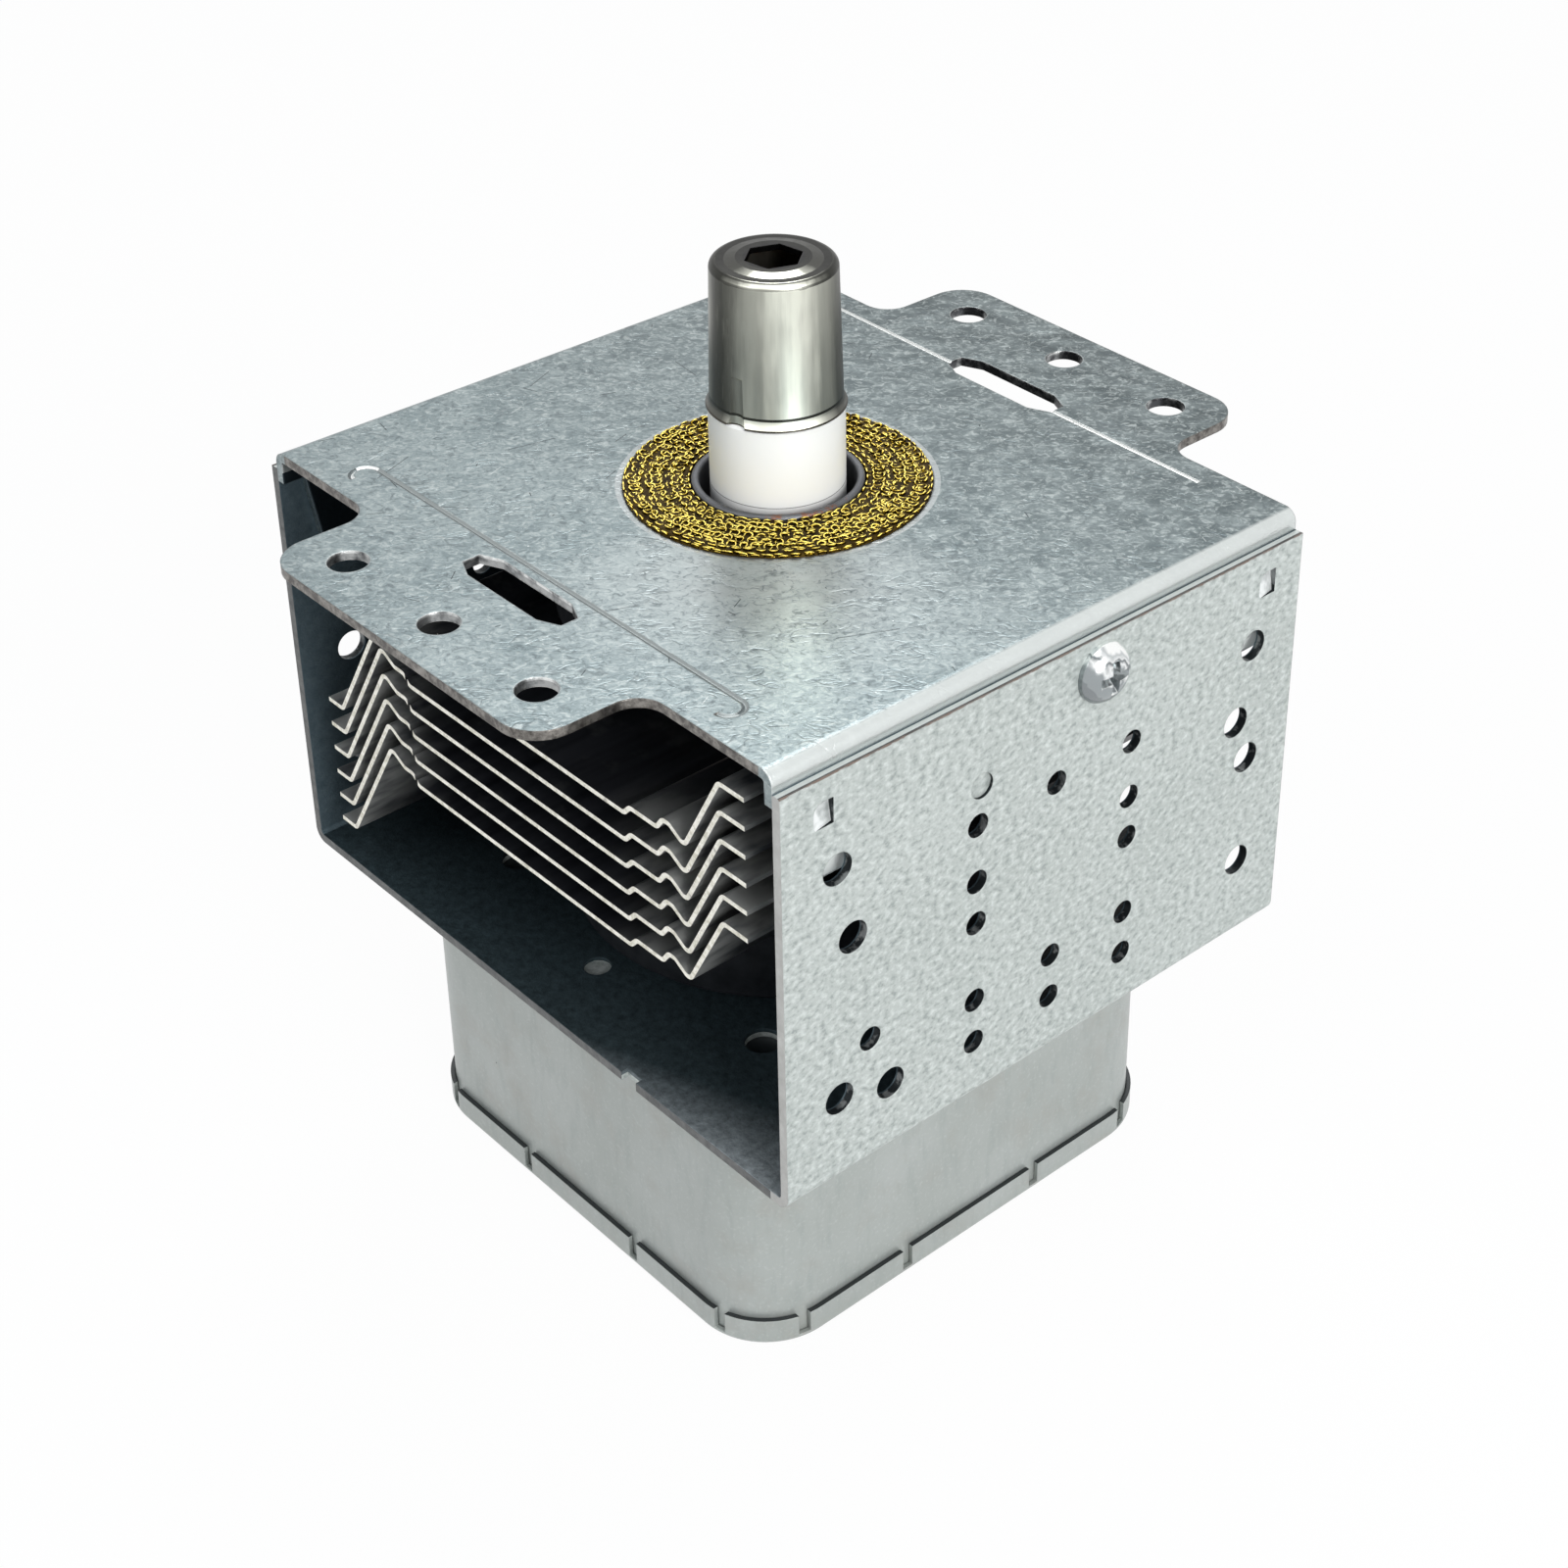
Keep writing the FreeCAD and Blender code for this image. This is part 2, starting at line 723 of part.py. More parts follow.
def anode_vanes():
    """Radial vanes; neighbours join opposite straps, so their slots alternate."""
    vanes = {}
    inner = inner_strap_radius
    outer = outer_strap_radius
    root = rod(anode_bore_radius, vane_bottom - 1, vane_top + 1)
    for i in range(vane_count):
        plate = box(
            vane_tip_diameter / 2,
            anode_bore_radius + 1,
            -vane_thickness / 2,
            vane_thickness / 2,
            vane_bottom,
            vane_top,
        )
        plate = plate.common(root)
        for top in (True, False):
            first_joined = (i % 2 == 0) == top
            cut_inner = strap_step(inner, top) if first_joined else strap_slot(inner, top)
            cut_outer = strap_slot(outer, top) if first_joined else strap_step(outer, top)
            plate = plate.cut([cut_inner, cut_outer])
        plate.rotate(vec(0, 0, 0), vec(0, 0, 1), i * 360 / vane_count)
        vanes["anode_vane_%d" % (i + 1)] = plate
    return vanes


def straps():
    rings = {}
    for name, radius in (("inner", inner_strap_radius), ("outer", outer_strap_radius)):
        outer = radius + strap_width / 2
        inner = radius - strap_width / 2
        rings["upper_%s_strap" % name] = ring(outer, inner, vane_top - strap_height, vane_top)
        rings["lower_%s_strap" % name] = ring(outer, inner, vane_bottom, vane_bottom + strap_height)
    return rings


def pole_piece():
    """Funnel of soft iron: a brim in the anode's counterbore and a bored flat near the vanes."""
    brim = anode_bore_radius + pole_seat_width
    shoulder = brim - pole_brim_width
    flat = pole_flat_diameter / 2
    low = vane_top + pole_gap
    top = anode_top
    outline = [
        (brim, top),
        (brim, top - pole_sheet),
        (shoulder, top - pole_sheet),
        (flat, low),
        (pole_bore / 2, low),
        (pole_bore / 2, low + pole_sheet),
        (flat, low + pole_sheet),
        (shoulder, top),
    ]
    return revolve(outline)


def pole_pieces():
    upper = pole_piece()
    lower = upper.mirror(vec(0, 0, anode_middle), vec(0, 0, 1))
    upper = upper.cut(antenna_lead_sweep(lead_hole))
    return {"upper_pole_piece": upper, "lower_pole_piece": lower}


def output_seal():
    """Drawn sleeve: flange on the anode, wall through the magnet, shelf under the ceramic, open collar."""
    inner = sleeve_bore_radius
    bore = ceramic_bore_radius
    shelf = output_shelf_top
    outline = [
        (anode_radius, anode_top),
        (anode_radius, upper_seal_top),
        (sleeve_radius, upper_seal_top),
        (sleeve_radius, collar_rise),
        (inner, collar_rise),
        (inner, shelf),
        (bore, shelf),
        (bore, shelf - shelf_thickness),
        (inner, shelf - shelf_thickness),
        (inner, anode_top),
    ]
    sleeve = revolve(outline)
    rim = [e for e in sleeve.Edges if e.BoundBox.ZMin > collar_rise - 1e-6 and len(e.Vertexes) == 1]
    return sleeve.makeFillet(collar_wall * 0.4, rim)


def input_seal():
    """The same kind of sleeve at the cathode end, passing the yoke's base into the filter box."""
    inner = sleeve_bore_radius
    bore = stem_radius
    end = input_sleeve_end
    outline = [
        (anode_radius, anode_bottom),
        (anode_radius, lower_seal_bottom),
        (sleeve_radius, lower_seal_bottom),
        (sleeve_radius, end),
        (bore, end),
        (bore, end + shelf_thickness),
        (inner, end + shelf_thickness),
        (inner, anode_bottom),
    ]
    return revolve(outline)


def antenna_ceramic():
    body = ring(ceramic_radius, ceramic_bore_radius, output_shelf_top, ceramic_top)
    rims = [e for e in body.Edges if abs(e.Length - 2 * math.pi * ceramic_radius) < 1e-3]
    return body.makeChamfer(ceramic_chamfer, rims)


def exhaust_tube():
    """Copper tube on a flange that closes the ceramic, pinched flat at its upper end."""
    low = ceramic_top
    seat = cap_foot_radius - cap_wall - cap_clearance
    outer = exhaust_radius
    inner = outer - exhaust_wall
    flange = low + exhaust_flange
    barrel_top = exhaust_top - pinch_length
    body = revolve([
        (inner, low),
        (seat, low),
        (seat, flange),
        (outer, flange),
        (outer, barrel_top),
        (inner, barrel_top),
    ])
    lower = Part.Wire(Part.makeCircle(outer, vec(0, 0, barrel_top)))
    flat = pinch_thickness / 2
    wide = outer * math.pi / 2 - flat
    upper_edges = [
        Part.LineSegment(vec(-wide, -flat, exhaust_top), vec(wide, -flat, exhaust_top)),
        Part.Arc(vec(wide, -flat, exhaust_top), vec(wide + flat, 0, exhaust_top), vec(wide, flat, exhaust_top)),
        Part.LineSegment(vec(wide, flat, exhaust_top), vec(-wide, flat, exhaust_top)),
        Part.Arc(vec(-wide, flat, exhaust_top), vec(-wide - flat, 0, exhaust_top), vec(-wide, -flat, exhaust_top)),
    ]
    upper = Part.Wire([curve.toShape() for curve in upper_edges])
    pinch = Part.makeLoft([lower, upper], True, True)
    tube = fuse_all([body, pinch])
    lead = rod(lead_half, low - 1, antenna_lead_end)
    return tube.cut(lead)


def antenna_lead_sweep(diameter):
    """Round bar along the lead's route: up from a vane, slanting to the axis, up the tube."""
    knee = vane_top + antenna_lead_knee
    points = [
        vec(antenna_lead_radius, 0, vane_top),
        vec(antenna_lead_radius, 0, knee),
        vec(0, 0, knee + antenna_lead_climb),
        vec(0, 0, antenna_lead_end),
    ]
    path = rounded_path(points, antenna_lead_bend)
    return wire_along(Part.Wire(path), diameter)


def rounded_path(points, bend):
    """Edges through the points with a round bend at each inner one."""
    edges = []
    here = points[0]
    for before, corner, after in zip(points, points[1:], points[2:]):
        arriving = (corner - before).normalize()
        leaving = (after - corner).normalize()
        turn = arriving.getAngle(leaving)
        setback = bend * math.tan(turn / 2)
        start = corner - arriving * setback
        end = corner + leaving * setback
        inward = (leaving - arriving).normalize()
        middle = corner + inward * (bend / math.cos(turn / 2) - bend)
        edges.append(Part.LineSegment(here, start).toShape())
        edges.append(Part.Arc(start, middle, end).toShape())
        here = end
    edges.append(Part.LineSegment(here, points[-1]).toShape())
    return edges


def antenna_lead():
    return antenna_lead_sweep(antenna_lead_diameter)


def antenna_cap():
    """Deep-drawn steel cap: flared lip, slight taper, round shoulder, raised boss with a socket."""
    lip = cap_lip_radius
    foot = cap_foot_radius
    top = cap_top_radius
    boss = cap_boss_diameter / 2
    wall = cap_wall
    shoulder = cap_shoulder_radius
    z0 = ceramic_top
    z1 = cap_top
    crown = z1 + cap_boss_rise
    side = math.sin(math.radians(45))
    edges = [
        Part.LineSegment(vec(foot - wall, 0, z0), vec(lip, 0, z0)),
        Part.Arc(
            vec(lip, 0, z0),
            vec((lip + foot) / 2 - 0.08, 0, z0 + cap_lip_height * 0.4),
            vec(foot, 0, z0 + cap_lip_height),
        ),
        Part.LineSegment(vec(foot, 0, z0 + cap_lip_height), vec(top, 0, z1 - shoulder)),
        Part.Arc(
            vec(top, 0, z1 - shoulder),
            vec(top - shoulder + shoulder * side, 0, z1 - shoulder + shoulder * side),
            vec(top - shoulder, 0, z1),
        ),
        Part.LineSegment(vec(top - shoulder, 0, z1), vec(boss + cap_boss_flank, 0, z1)),
        Part.LineSegment(vec(boss + cap_boss_flank, 0, z1), vec(boss, 0, crown)),
        Part.LineSegment(vec(boss, 0, crown), vec(0, 0, crown)),
        Part.LineSegment(vec(0, 0, crown), vec(0, 0, z1 - wall)),
        Part.LineSegment(vec(0, 0, z1 - wall), vec(top - wall, 0, z1 - wall)),
        Part.LineSegment(vec(top - wall, 0, z1 - wall), vec(foot - wall, 0, z0)),
    ]
    face = Part.Face(Part.Wire([e.toShape() for e in edges]))
    cap = face.revolve(vec(0, 0, 0), vec(0, 0, 1), 360)
    socket = Part.makePolygon([
        vec(
            cap_socket / math.sqrt(3) * math.cos(math.radians(cap_socket_angle + 60 * i)),
            cap_socket / math.sqrt(3) * math.sin(math.radians(cap_socket_angle + 60 * i)),
            z1 - wall - 1,
        )
        for i in range(7)
    ])
    socket = Part.Face(socket).extrude(vec(0, 0, wall + cap_boss_rise + 2))
    radius = crimp_width
    away = foot + radius - (wall - crimp_floor)
    angle = math.radians(crimp_angle)
    groove = rod(radius, z0 - 1, z0 + crimp_height, away * math.cos(angle), away * math.sin(angle))
    return cap.cut([socket, groove])


def rf_gasket():
    """Knitted wire ring between the collar and the plate's opening, lying on the upper magnet."""
    outer = gasket_opening / 2
    ring_body = ring(outer, sleeve_radius, upper_magnet_top, gasket_rise)
    rims = [e for e in ring_body.Edges if e.BoundBox.ZMin > gasket_rise - 1e-6 and len(e.Vertexes) == 1]
    return ring_body.makeFillet(gasket_edge, rims)


def fin_points():
    """Centre line of a fin seen along the air flow, with its flat middle at height 0."""
    left = anode_radius + fin_left_margin
    right = anode_radius + fin_right_margin
    peak = anode_radius + fin_peak_reach
    crest = anode_radius + fin_crest_reach
    return [
        (-fin_end, -fin_left_drop),
        (-fin_end + fin_left_tab, -fin_left_drop),
        (-peak, fin_peak_rise),
        (-peak + 2.4 * fin_step_run, fin_step_rise),
        (-left - fin_step_run, fin_step_rise),
        (-left, 0),
        (right, 0),
        (right + fin_step_run, fin_step_rise),
        (crest - fin_step_run, fin_step_rise),
        (crest, fin_crest_rise),
        (crest + fin_step_run, fin_crest_rise),
        (anode_radius + fin_valley_reach, fin_step_rise),
        (fin_end - fin_right_tab, fin_right_rise),
        (fin_end, fin_right_rise),
    ]


def fin(z):
    """One pressed sheet with a plunged collar that grips the anode and two relief slits."""
    face = bent_strip(fin_points(), fin_sheet, fin_bend_radius, front_plane(-fin_half_depth))
    sheet = face.extrude(vec(0, 2 * fin_half_depth, 0))
    collar_top = fin_pitch - fin_sheet / 2 - fin_collar_gap
    collar = rod(anode_radius + fin_collar_wall, 0, collar_top)
    sheet = sheet.fuse(collar).removeSplitter()
    slit_x = -anode_radius - fin_left_margin - fin_step_run / 2
    slit = box(
        slit_x - fin_slit_width / 2,
        slit_x + fin_slit_width / 2,
        -fin_half_depth - 1,
        -fin_half_depth + fin_slit_length,
        -fin_sheet,
        fin_step_rise + fin_sheet,
    )
    back_slit = slit.mirror(vec(0, 0, 0), vec(0, 1, 0))
    sheet = sheet.cut([rod(anode_radius, -fin_sheet, fin_pitch), slit, back_slit])
    return sheet.translated(vec(0, 0, z))


def fins():
    return {"fin_%d" % (i + 1): fin(fin_top - i * fin_pitch) for i in range(fin_count)}


def wire_along(path, diameter):
    """Round wire swept along a path, square to its first edge."""
    first = path.OrderedEdges[0]
    start = first.valueAt(first.FirstParameter)
    section = Part.Wire(Part.makeCircle(diameter / 2, start, first.tangentAt(first.FirstParameter)))
    return path.makePipeShell([section], True, False)


def cathode():
    """Filament coil held between two end hats on the cathode leads."""
    hat = end_hat_diameter / 2
    lead = cathode_lead_diameter / 2
    upper_hat_under = vane_top
    lower_hat_top = vane_bottom
    upper_hat = ring(hat, lead, upper_hat_under, upper_hat_under + end_hat_thickness)
    lower_outer = rod(hat, lower_hat_top - end_hat_thickness, lower_hat_top)
    side = rod(lead, lower_hat_top - 5, lower_hat_top + 1, 0, -side_lead_offset)
    free = rod(lead + cathode_lead_clearance, lower_hat_top - 5, lower_hat_top + 1)
    lower_hat = lower_outer.cut([side, free])
    coil_radius = (filament_diameter - filament_wire) / 2
    run = vane_height - filament_wire
    spiral = Part.makeHelix(run / filament_turns, run, coil_radius)
    spiral.translate(vec(0, 0, lower_hat_top + filament_wire / 2))
    coil = wire_along(Part.Wire(spiral.Edges), filament_wire)
    centre_lead = rod(lead, terminal_bottom, upper_hat_under + end_hat_thickness)
    side_lead = rod(lead, terminal_bottom, lower_hat_top, 0, -side_lead_offset)
    return {
        "filament": coil,
        "upper_end_hat": upper_hat,
        "lower_end_hat": lower_hat,
        "centre_lead": centre_lead,
        "side_lead": side_lead,
    }


def stem():
    """Ceramic stem in the lower sleeve, with a metal terminal for each cathode lead under it."""
    lead = cathode_lead_diameter / 2
    outer = stem_radius
    inner = sleeve_bore_radius
    bores = [
        rod(lead, stem_bottom - 5, stem_top + 5),
        rod(lead, stem_bottom - 5, stem_top + 5, 0, -side_lead_offset),
    ]
    body = rod(outer, stem_bottom, stem_top)
    body = fuse_all([body, rod(inner, input_sleeve_end + shelf_thickness, stem_top)])
    body = body.cut(bores)
    disc = rod(outer - terminal_margin, terminal_bottom, stem_bottom)
    front_edge = (-side_lead_offset - terminal_gap) / 2
    back_edge = front_edge + terminal_gap
    back = disc.common(box(-outer, outer, back_edge, outer, terminal_bottom, stem_bottom))
    front = disc.common(box(-outer, outer, -outer, front_edge, terminal_bottom, stem_bottom))
    return {
        "stem_ceramic": body,
        "centre_terminal": back.cut(bores[0]),
        "side_terminal": front.cut(bores[1]),
    }


def box_wall(half, radius, z0, z1, edge):
    """A rounded square block with its upper rim rounded."""
    block = rounded_prism(half, radius, z0, z1)
    if edge <= 0:
        return block
    rims = [e for e in block.Edges if e.BoundBox.ZMin > z1 - 1e-6]
    return block.makeFillet(edge, rims)


def filter_box():
    """Drawn can under the yoke, open below, standing on the lid's floor inside its rim."""
    sheet = filter_sheet
    inner_half = half_filter - sheet
    outer = box_wall(half_filter, filter_corner_radius, lid_floor, base_under, filter_edge_radius)
    ceiling = base_under - sheet
    cavity = box_wall(inner_half, filter_corner_radius - sheet, lid_floor - 1, ceiling, filter_edge_radius - sheet)
    cuts = [cavity, rod(sleeve_radius + tube_clearance, ceiling - 1, base_under + 1)]
    clearance = capacitor_seat_clearance
    window = stadium(
        capacitor_body_length + 2 * clearance,
        capacitor_body_height + 2 * clearance,
        -half_filter - 1,
        -inner_half + 1,
    )
    cuts.append(window)
    for side in (-1, 1):
        y = side * rivet_y
        cuts.append(cross_rod(rivet_shank / 2, -half_filter - 1, -inner_half + 1, y, capacitor_z))
    return outer.cut(cuts)


def filter_lid():
    """Pressed lid whose rim is parted into tabs along each side and round each corner."""
    outer_radius = filter_corner_radius + lid_clearance + lid_sheet
    inner_radius = filter_corner_radius + lid_clearance
    inner_half = half_filter + lid_clearance
    outer = rounded_prism(lid_half, outer_radius, lid_under, rim_top)
    rims = [e for e in outer.Edges if e.BoundBox.ZMax < lid_under + 1e-6]
    outer = outer.makeFillet(lid_edge_radius, rims)
    inner = rounded_prism(inner_half, inner_radius, lid_floor, rim_top + 1)
    low = lid_under + lid_edge_radius
    reach = lid_half + 1
    gap = rim_gap_width / 2
    side_gap = half_filter - rim_gap_side_margin
    gaps = []
    for place in (-side_gap, -rim_gap_offset, rim_gap_offset, side_gap):
        gaps.append(box(place - gap, place + gap, -reach, reach, low, rim_top + 1))
        gaps.append(box(-reach, reach, place - gap, place + gap, low, rim_top + 1))
    keep = rounded_prism(inner_half, inner_radius, lid_under - 1, rim_top + 2)
    return outer.cut(inner).cut(fuse_all(gaps).cut(keep))


def stadium(length, height, x0, x1):
    """A bar along X with a long section whose ends are half round, at the capacitor's height."""
    radius = height / 2
    flat = length / 2 - radius
    low = capacitor_z - radius
    high = capacitor_z + radius
    edges = [
        Part.LineSegment(vec(x0, -flat, low), vec(x0, flat, low)),
        Part.Arc(vec(x0, flat, low), vec(x0, flat + radius, capacitor_z), vec(x0, flat, high)),
        Part.LineSegment(vec(x0, flat, high), vec(x0, -flat, high)),
        Part.Arc(vec(x0, -flat, high), vec(x0, -flat - radius, capacitor_z), vec(x0, -flat, low)),
    ]
    return Part.Face(Part.Wire([e.toShape() for e in edges])).extrude(vec(x1 - x0, 0, 0))


def blade(side):
    """A flat push-on terminal through the capacitor, with an eye at its inner end."""
    y = side * blade_pitch / 2
    outer_end = plate_outside - blade_reach
    inner_end = blade_inner_end
    half = blade_width / 2
    body = box(
        outer_end,
        inner_end,
        y - blade_thickness / 2,
        y + blade_thickness / 2,
        capacitor_z - half,
        capacitor_z + half,
    )
    tips = [e for e in body.Edges if abs(e.Vertexes[0].Y - e.Vertexes[1].Y) > blade_thickness / 2]
    outer_tips = [e for e in tips if e.BoundBox.XMax < outer_end + 1e-6]
    return body.makeChamfer(blade_chamfer, outer_tips)


def capacitor():
    """Feedthrough capacitor: metal plate on the wall, moulded body and shroud, two blades, rivets."""
    clearance = capacitor_seat_clearance
    plate = stadium(capacitor_plate_length, capacitor_plate_height, plate_outside, -half_filter)
    length = capacitor_body_length
    height = capacitor_body_height
    shroud_end = plate_outside - capacitor_shroud
    body = stadium(length, height, shroud_end, capacitor_inner_end)
    wall = 2 * capacitor_shroud_wall
    floor = plate_outside - capacitor_shroud_floor
    pocket = stadium(length - wall, height - wall, shroud_end - 1, floor)
    body = body.cut(pocket)
    blades = {}
    for name, side in (("front", -1), ("back", 1)):
        piece = blade(side)
        body = body.cut(piece)
        blades["%s_blade" % name] = piece
    rivets = []
    for side in (-1, 1):
        y = side * rivet_y
        inner = -half_filter + filter_sheet
        shank = cross_rod(rivet_shank / 2, plate_outside, inner, y, capacitor_z)
        plate = plate.cut(shank)
        outer_head = cross_rod(rivet_head / 2, plate_outside - rivet_head_height, plate_outside, y, capacitor_z)
        inner_head = cross_rod(rivet_head / 2, inner, inner + rivet_head_height, y, capacitor_z)
        rivets.append(fuse_all([shank, outer_head, inner_head]))
    plate = plate.cut(stadium(length, height, plate_outside - 1, -half_filter + 1))
    nodes = {
        "capacitor_plate": plate,
        "capacitor_body": body,
        "capacitor_rivets": Part.makeCompound(rivets),
    }
    nodes.update(blades)
    return nodes


def choke_coil():
    """The back choke: its wire runs along a blade, round the core and under a stem terminal."""
    spiral = Part.makeHelix(choke_turn_pitch, choke_run, choke_radius)
    spiral.rotate(vec(0, 0, 0), vec(0, 1, 0), 90)
    spiral.translate(vec(-choke_run / 2, choke_y, choke_z))
    advance = vec(choke_turn_pitch, 2 * math.pi * choke_radius, 0).normalize()
    retreat = vec(advance.x, -advance.y, 0)
    blade_y = (blade_pitch + blade_thickness + choke_wire) / 2 + choke_touch
    first = vec(-choke_run / 2, choke_y, choke_z - choke_radius)
    last = vec(choke_run / 2, choke_y, choke_z + choke_radius)
    lead_in = [
        vec(capacitor_inner_end + blade_tail / 2, blade_y, capacitor_z),
        first - advance * ((choke_y - blade_y) / advance.y),
        first,
    ]
    spot = (stem_radius - terminal_margin) / 2
    spot_z = terminal_bottom - choke_wire / 2 - choke_touch
    lead_out = [
        last,
        last + retreat * choke_lead_run,
        vec(choke_run / 2, stem_radius + choke_wire + choke_stem_gap, spot_z),
        vec(spot, spot, spot_z),
    ]
    edges = rounded_path(lead_in, choke_bend) + spiral.Edges + rounded_path(lead_out, choke_bend)
    return wire_along(Part.Wire(edges), choke_wire)


def chokes():
    """Two ferrite-cored coils side by side, each the mirror of the other."""
    half_core = choke_run / 2 + core_overhang
    back = {
        "choke_coil": choke_coil(),
        "choke_core": cross_rod(core_diameter / 2, -half_core, half_core, choke_y, choke_z),
    }
    nodes = {}
    for name, shape in back.items():
        nodes["back_" + name] = shape
        nodes["front_" + name] = shape.mirror(vec(0, 0, 0), vec(0, 1, 0))
    return nodes


def build():
    nodes = {
        "upper_yoke": upper_yoke(),
        "lower_yoke": lower_yoke(),
        "yoke_screws": yoke_screws(),
        "anode_cylinder": anode_cylinder(),
        "output_seal": output_seal(),
        "input_seal": input_seal(),
        "antenna_ceramic": antenna_ceramic(),
        "exhaust_tube": exhaust_tube(),
        "antenna_lead": antenna_lead(),
        "antenna_cap": antenna_cap(),
        "rf_gasket": rf_gasket(),
        "filter_box": filter_box(),
        "filter_lid": filter_lid(),
    }
    for group in (magnets, anode_vanes, straps, pole_pieces, cathode, stem, fins, capacitor, chokes):
        nodes.update(group())
    return nodes


os.makedirs("parts", exist_ok=True)
for node_name, solid in build().items():
    solid.exportStep("parts/%s.step" % node_name)
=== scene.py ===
import json
import math
import random
from functools import partialmethod

import bpy
from mathutils import Matrix, Vector


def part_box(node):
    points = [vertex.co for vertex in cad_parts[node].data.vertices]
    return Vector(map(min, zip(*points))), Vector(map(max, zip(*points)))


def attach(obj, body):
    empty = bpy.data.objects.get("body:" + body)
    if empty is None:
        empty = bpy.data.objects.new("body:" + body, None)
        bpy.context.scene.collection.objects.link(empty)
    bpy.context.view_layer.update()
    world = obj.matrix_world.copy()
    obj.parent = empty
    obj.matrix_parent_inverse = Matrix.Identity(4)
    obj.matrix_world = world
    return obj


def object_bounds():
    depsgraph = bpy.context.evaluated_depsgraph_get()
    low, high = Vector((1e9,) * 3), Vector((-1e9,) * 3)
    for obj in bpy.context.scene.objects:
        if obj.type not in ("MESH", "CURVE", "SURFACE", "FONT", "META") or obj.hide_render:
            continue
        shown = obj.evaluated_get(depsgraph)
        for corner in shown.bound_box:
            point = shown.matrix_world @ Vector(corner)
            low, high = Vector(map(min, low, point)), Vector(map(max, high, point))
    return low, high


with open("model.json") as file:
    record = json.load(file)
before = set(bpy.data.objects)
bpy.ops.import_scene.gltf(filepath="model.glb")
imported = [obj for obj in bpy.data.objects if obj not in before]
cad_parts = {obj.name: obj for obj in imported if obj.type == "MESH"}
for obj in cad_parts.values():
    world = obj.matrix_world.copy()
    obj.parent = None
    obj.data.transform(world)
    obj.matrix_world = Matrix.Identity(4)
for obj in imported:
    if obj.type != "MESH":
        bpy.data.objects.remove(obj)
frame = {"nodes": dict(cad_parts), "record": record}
cad_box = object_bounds()

MM = 0.001

# Levels and reaches that the finishes take from the model
YOKE_LOW, YOKE_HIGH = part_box("lower_yoke")
HALF_WIDTH = YOKE_HIGH[0]
HALF_DEPTH = YOKE_HIGH[1]
WALL_TOP = YOKE_HIGH[2]
WALL_FOOT = YOKE_LOW[2]
LID_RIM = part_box("filter_lid")[1][2]
CAP_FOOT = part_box("antenna_cap")[0][2]
COLLAR_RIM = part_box("output_seal")[1][2]
COLLAR_RADIUS = 10.3 * MM
GASKET_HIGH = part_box("rf_gasket")[1]
GASKET_RADIUS = GASKET_HIGH[0]
GASKET_TOP = GASKET_HIGH[2]
FLOOR_Z = cad_box[0][2]

# Parts of the top plate: its bends, the flanges below them, the holes and slots, and the score lines
PLATE_BEND = HALF_WIDTH - 3.0 * MM
PLATE_EDGE = HALF_WIDTH - 3.2 * MM
FLANGE_REACH = HALF_WIDTH - 2.3 * MM
FLANGE_LEVEL = -2.7 * MM
HOLES_REACH = (21.6 * MM, 51.6 * MM)
SCORE_LEVELS = (-0.5 * MM, -0.02 * MM)
SCORE_HOOK = -33.8 * MM
TOP_ROUND = -0.6 * MM
CUT_MIDDLE = (-1.15 * MM, -0.35 * MM)
# Reach of the painted highlight on the rim of the plate's opening round the gasket
GASKET_RIM_HIGHLIGHT = GASKET_RADIUS + 0.8 * MM

# Parts of the yoke's walls, by how far out from the middle they are
WALL_INSIDE = HALF_WIDTH - 1.0 * MM
WALL_ZONE = HALF_WIDTH - 1.6 * MM
BORE_REACH = HALF_WIDTH - 1.1 * MM
SHADED_EDGE = HALF_WIDTH - 3.0 * MM
SEAM_GAP = HALF_WIDTH - 0.38 * MM
BURR_REACH = HALF_WIDTH - 0.2 * MM
BORES_DEPTH = HALF_DEPTH - 0.3 * MM
FRONT_EDGE = HALF_DEPTH - 0.2 * MM

# Levels on the yoke's walls
BASE_LEVEL = WALL_FOOT + 0.7 * MM
MARKS_FOOT = WALL_FOOT + 4.0 * MM
BORE_LEVELS = (WALL_FOOT + 3.0 * MM, WALL_TOP - 0.4 * MM)
TOP_FACE = WALL_TOP - 0.3 * MM
BURR_LEVEL = WALL_TOP - 0.14 * MM

# Parts of the filter box, the fins' tabs, the ceramic's ring and the collar's rust
RIM_LEVELS = (LID_RIM - 0.3 * MM, LID_RIM + 0.3 * MM)
UNDER_YOKE = WALL_FOOT - 1.5 * MM
TABS_X = (18.0 * MM, 26.0 * MM)
TABS_Y = (30.0 * MM, 43.0 * MM)
RING_SHADE = COLLAR_RIM - 0.2 * MM
RING_TOP = COLLAR_RIM - 0.1 * MM
RUST_REACH = 8.4 * MM

# Parts of the antenna cap
LIP_TOP = CAP_FOOT + 1.15 * MM
CREASE_TOP = CAP_FOOT + 1.5 * MM
LIP_SHADE = CAP_FOOT + 0.18 * MM
SOCKET_RADIUS = 3.55 * MM

# Direction in which the plate's fleck and strokes run, in degrees about Z
PLATE_GRAIN = 46

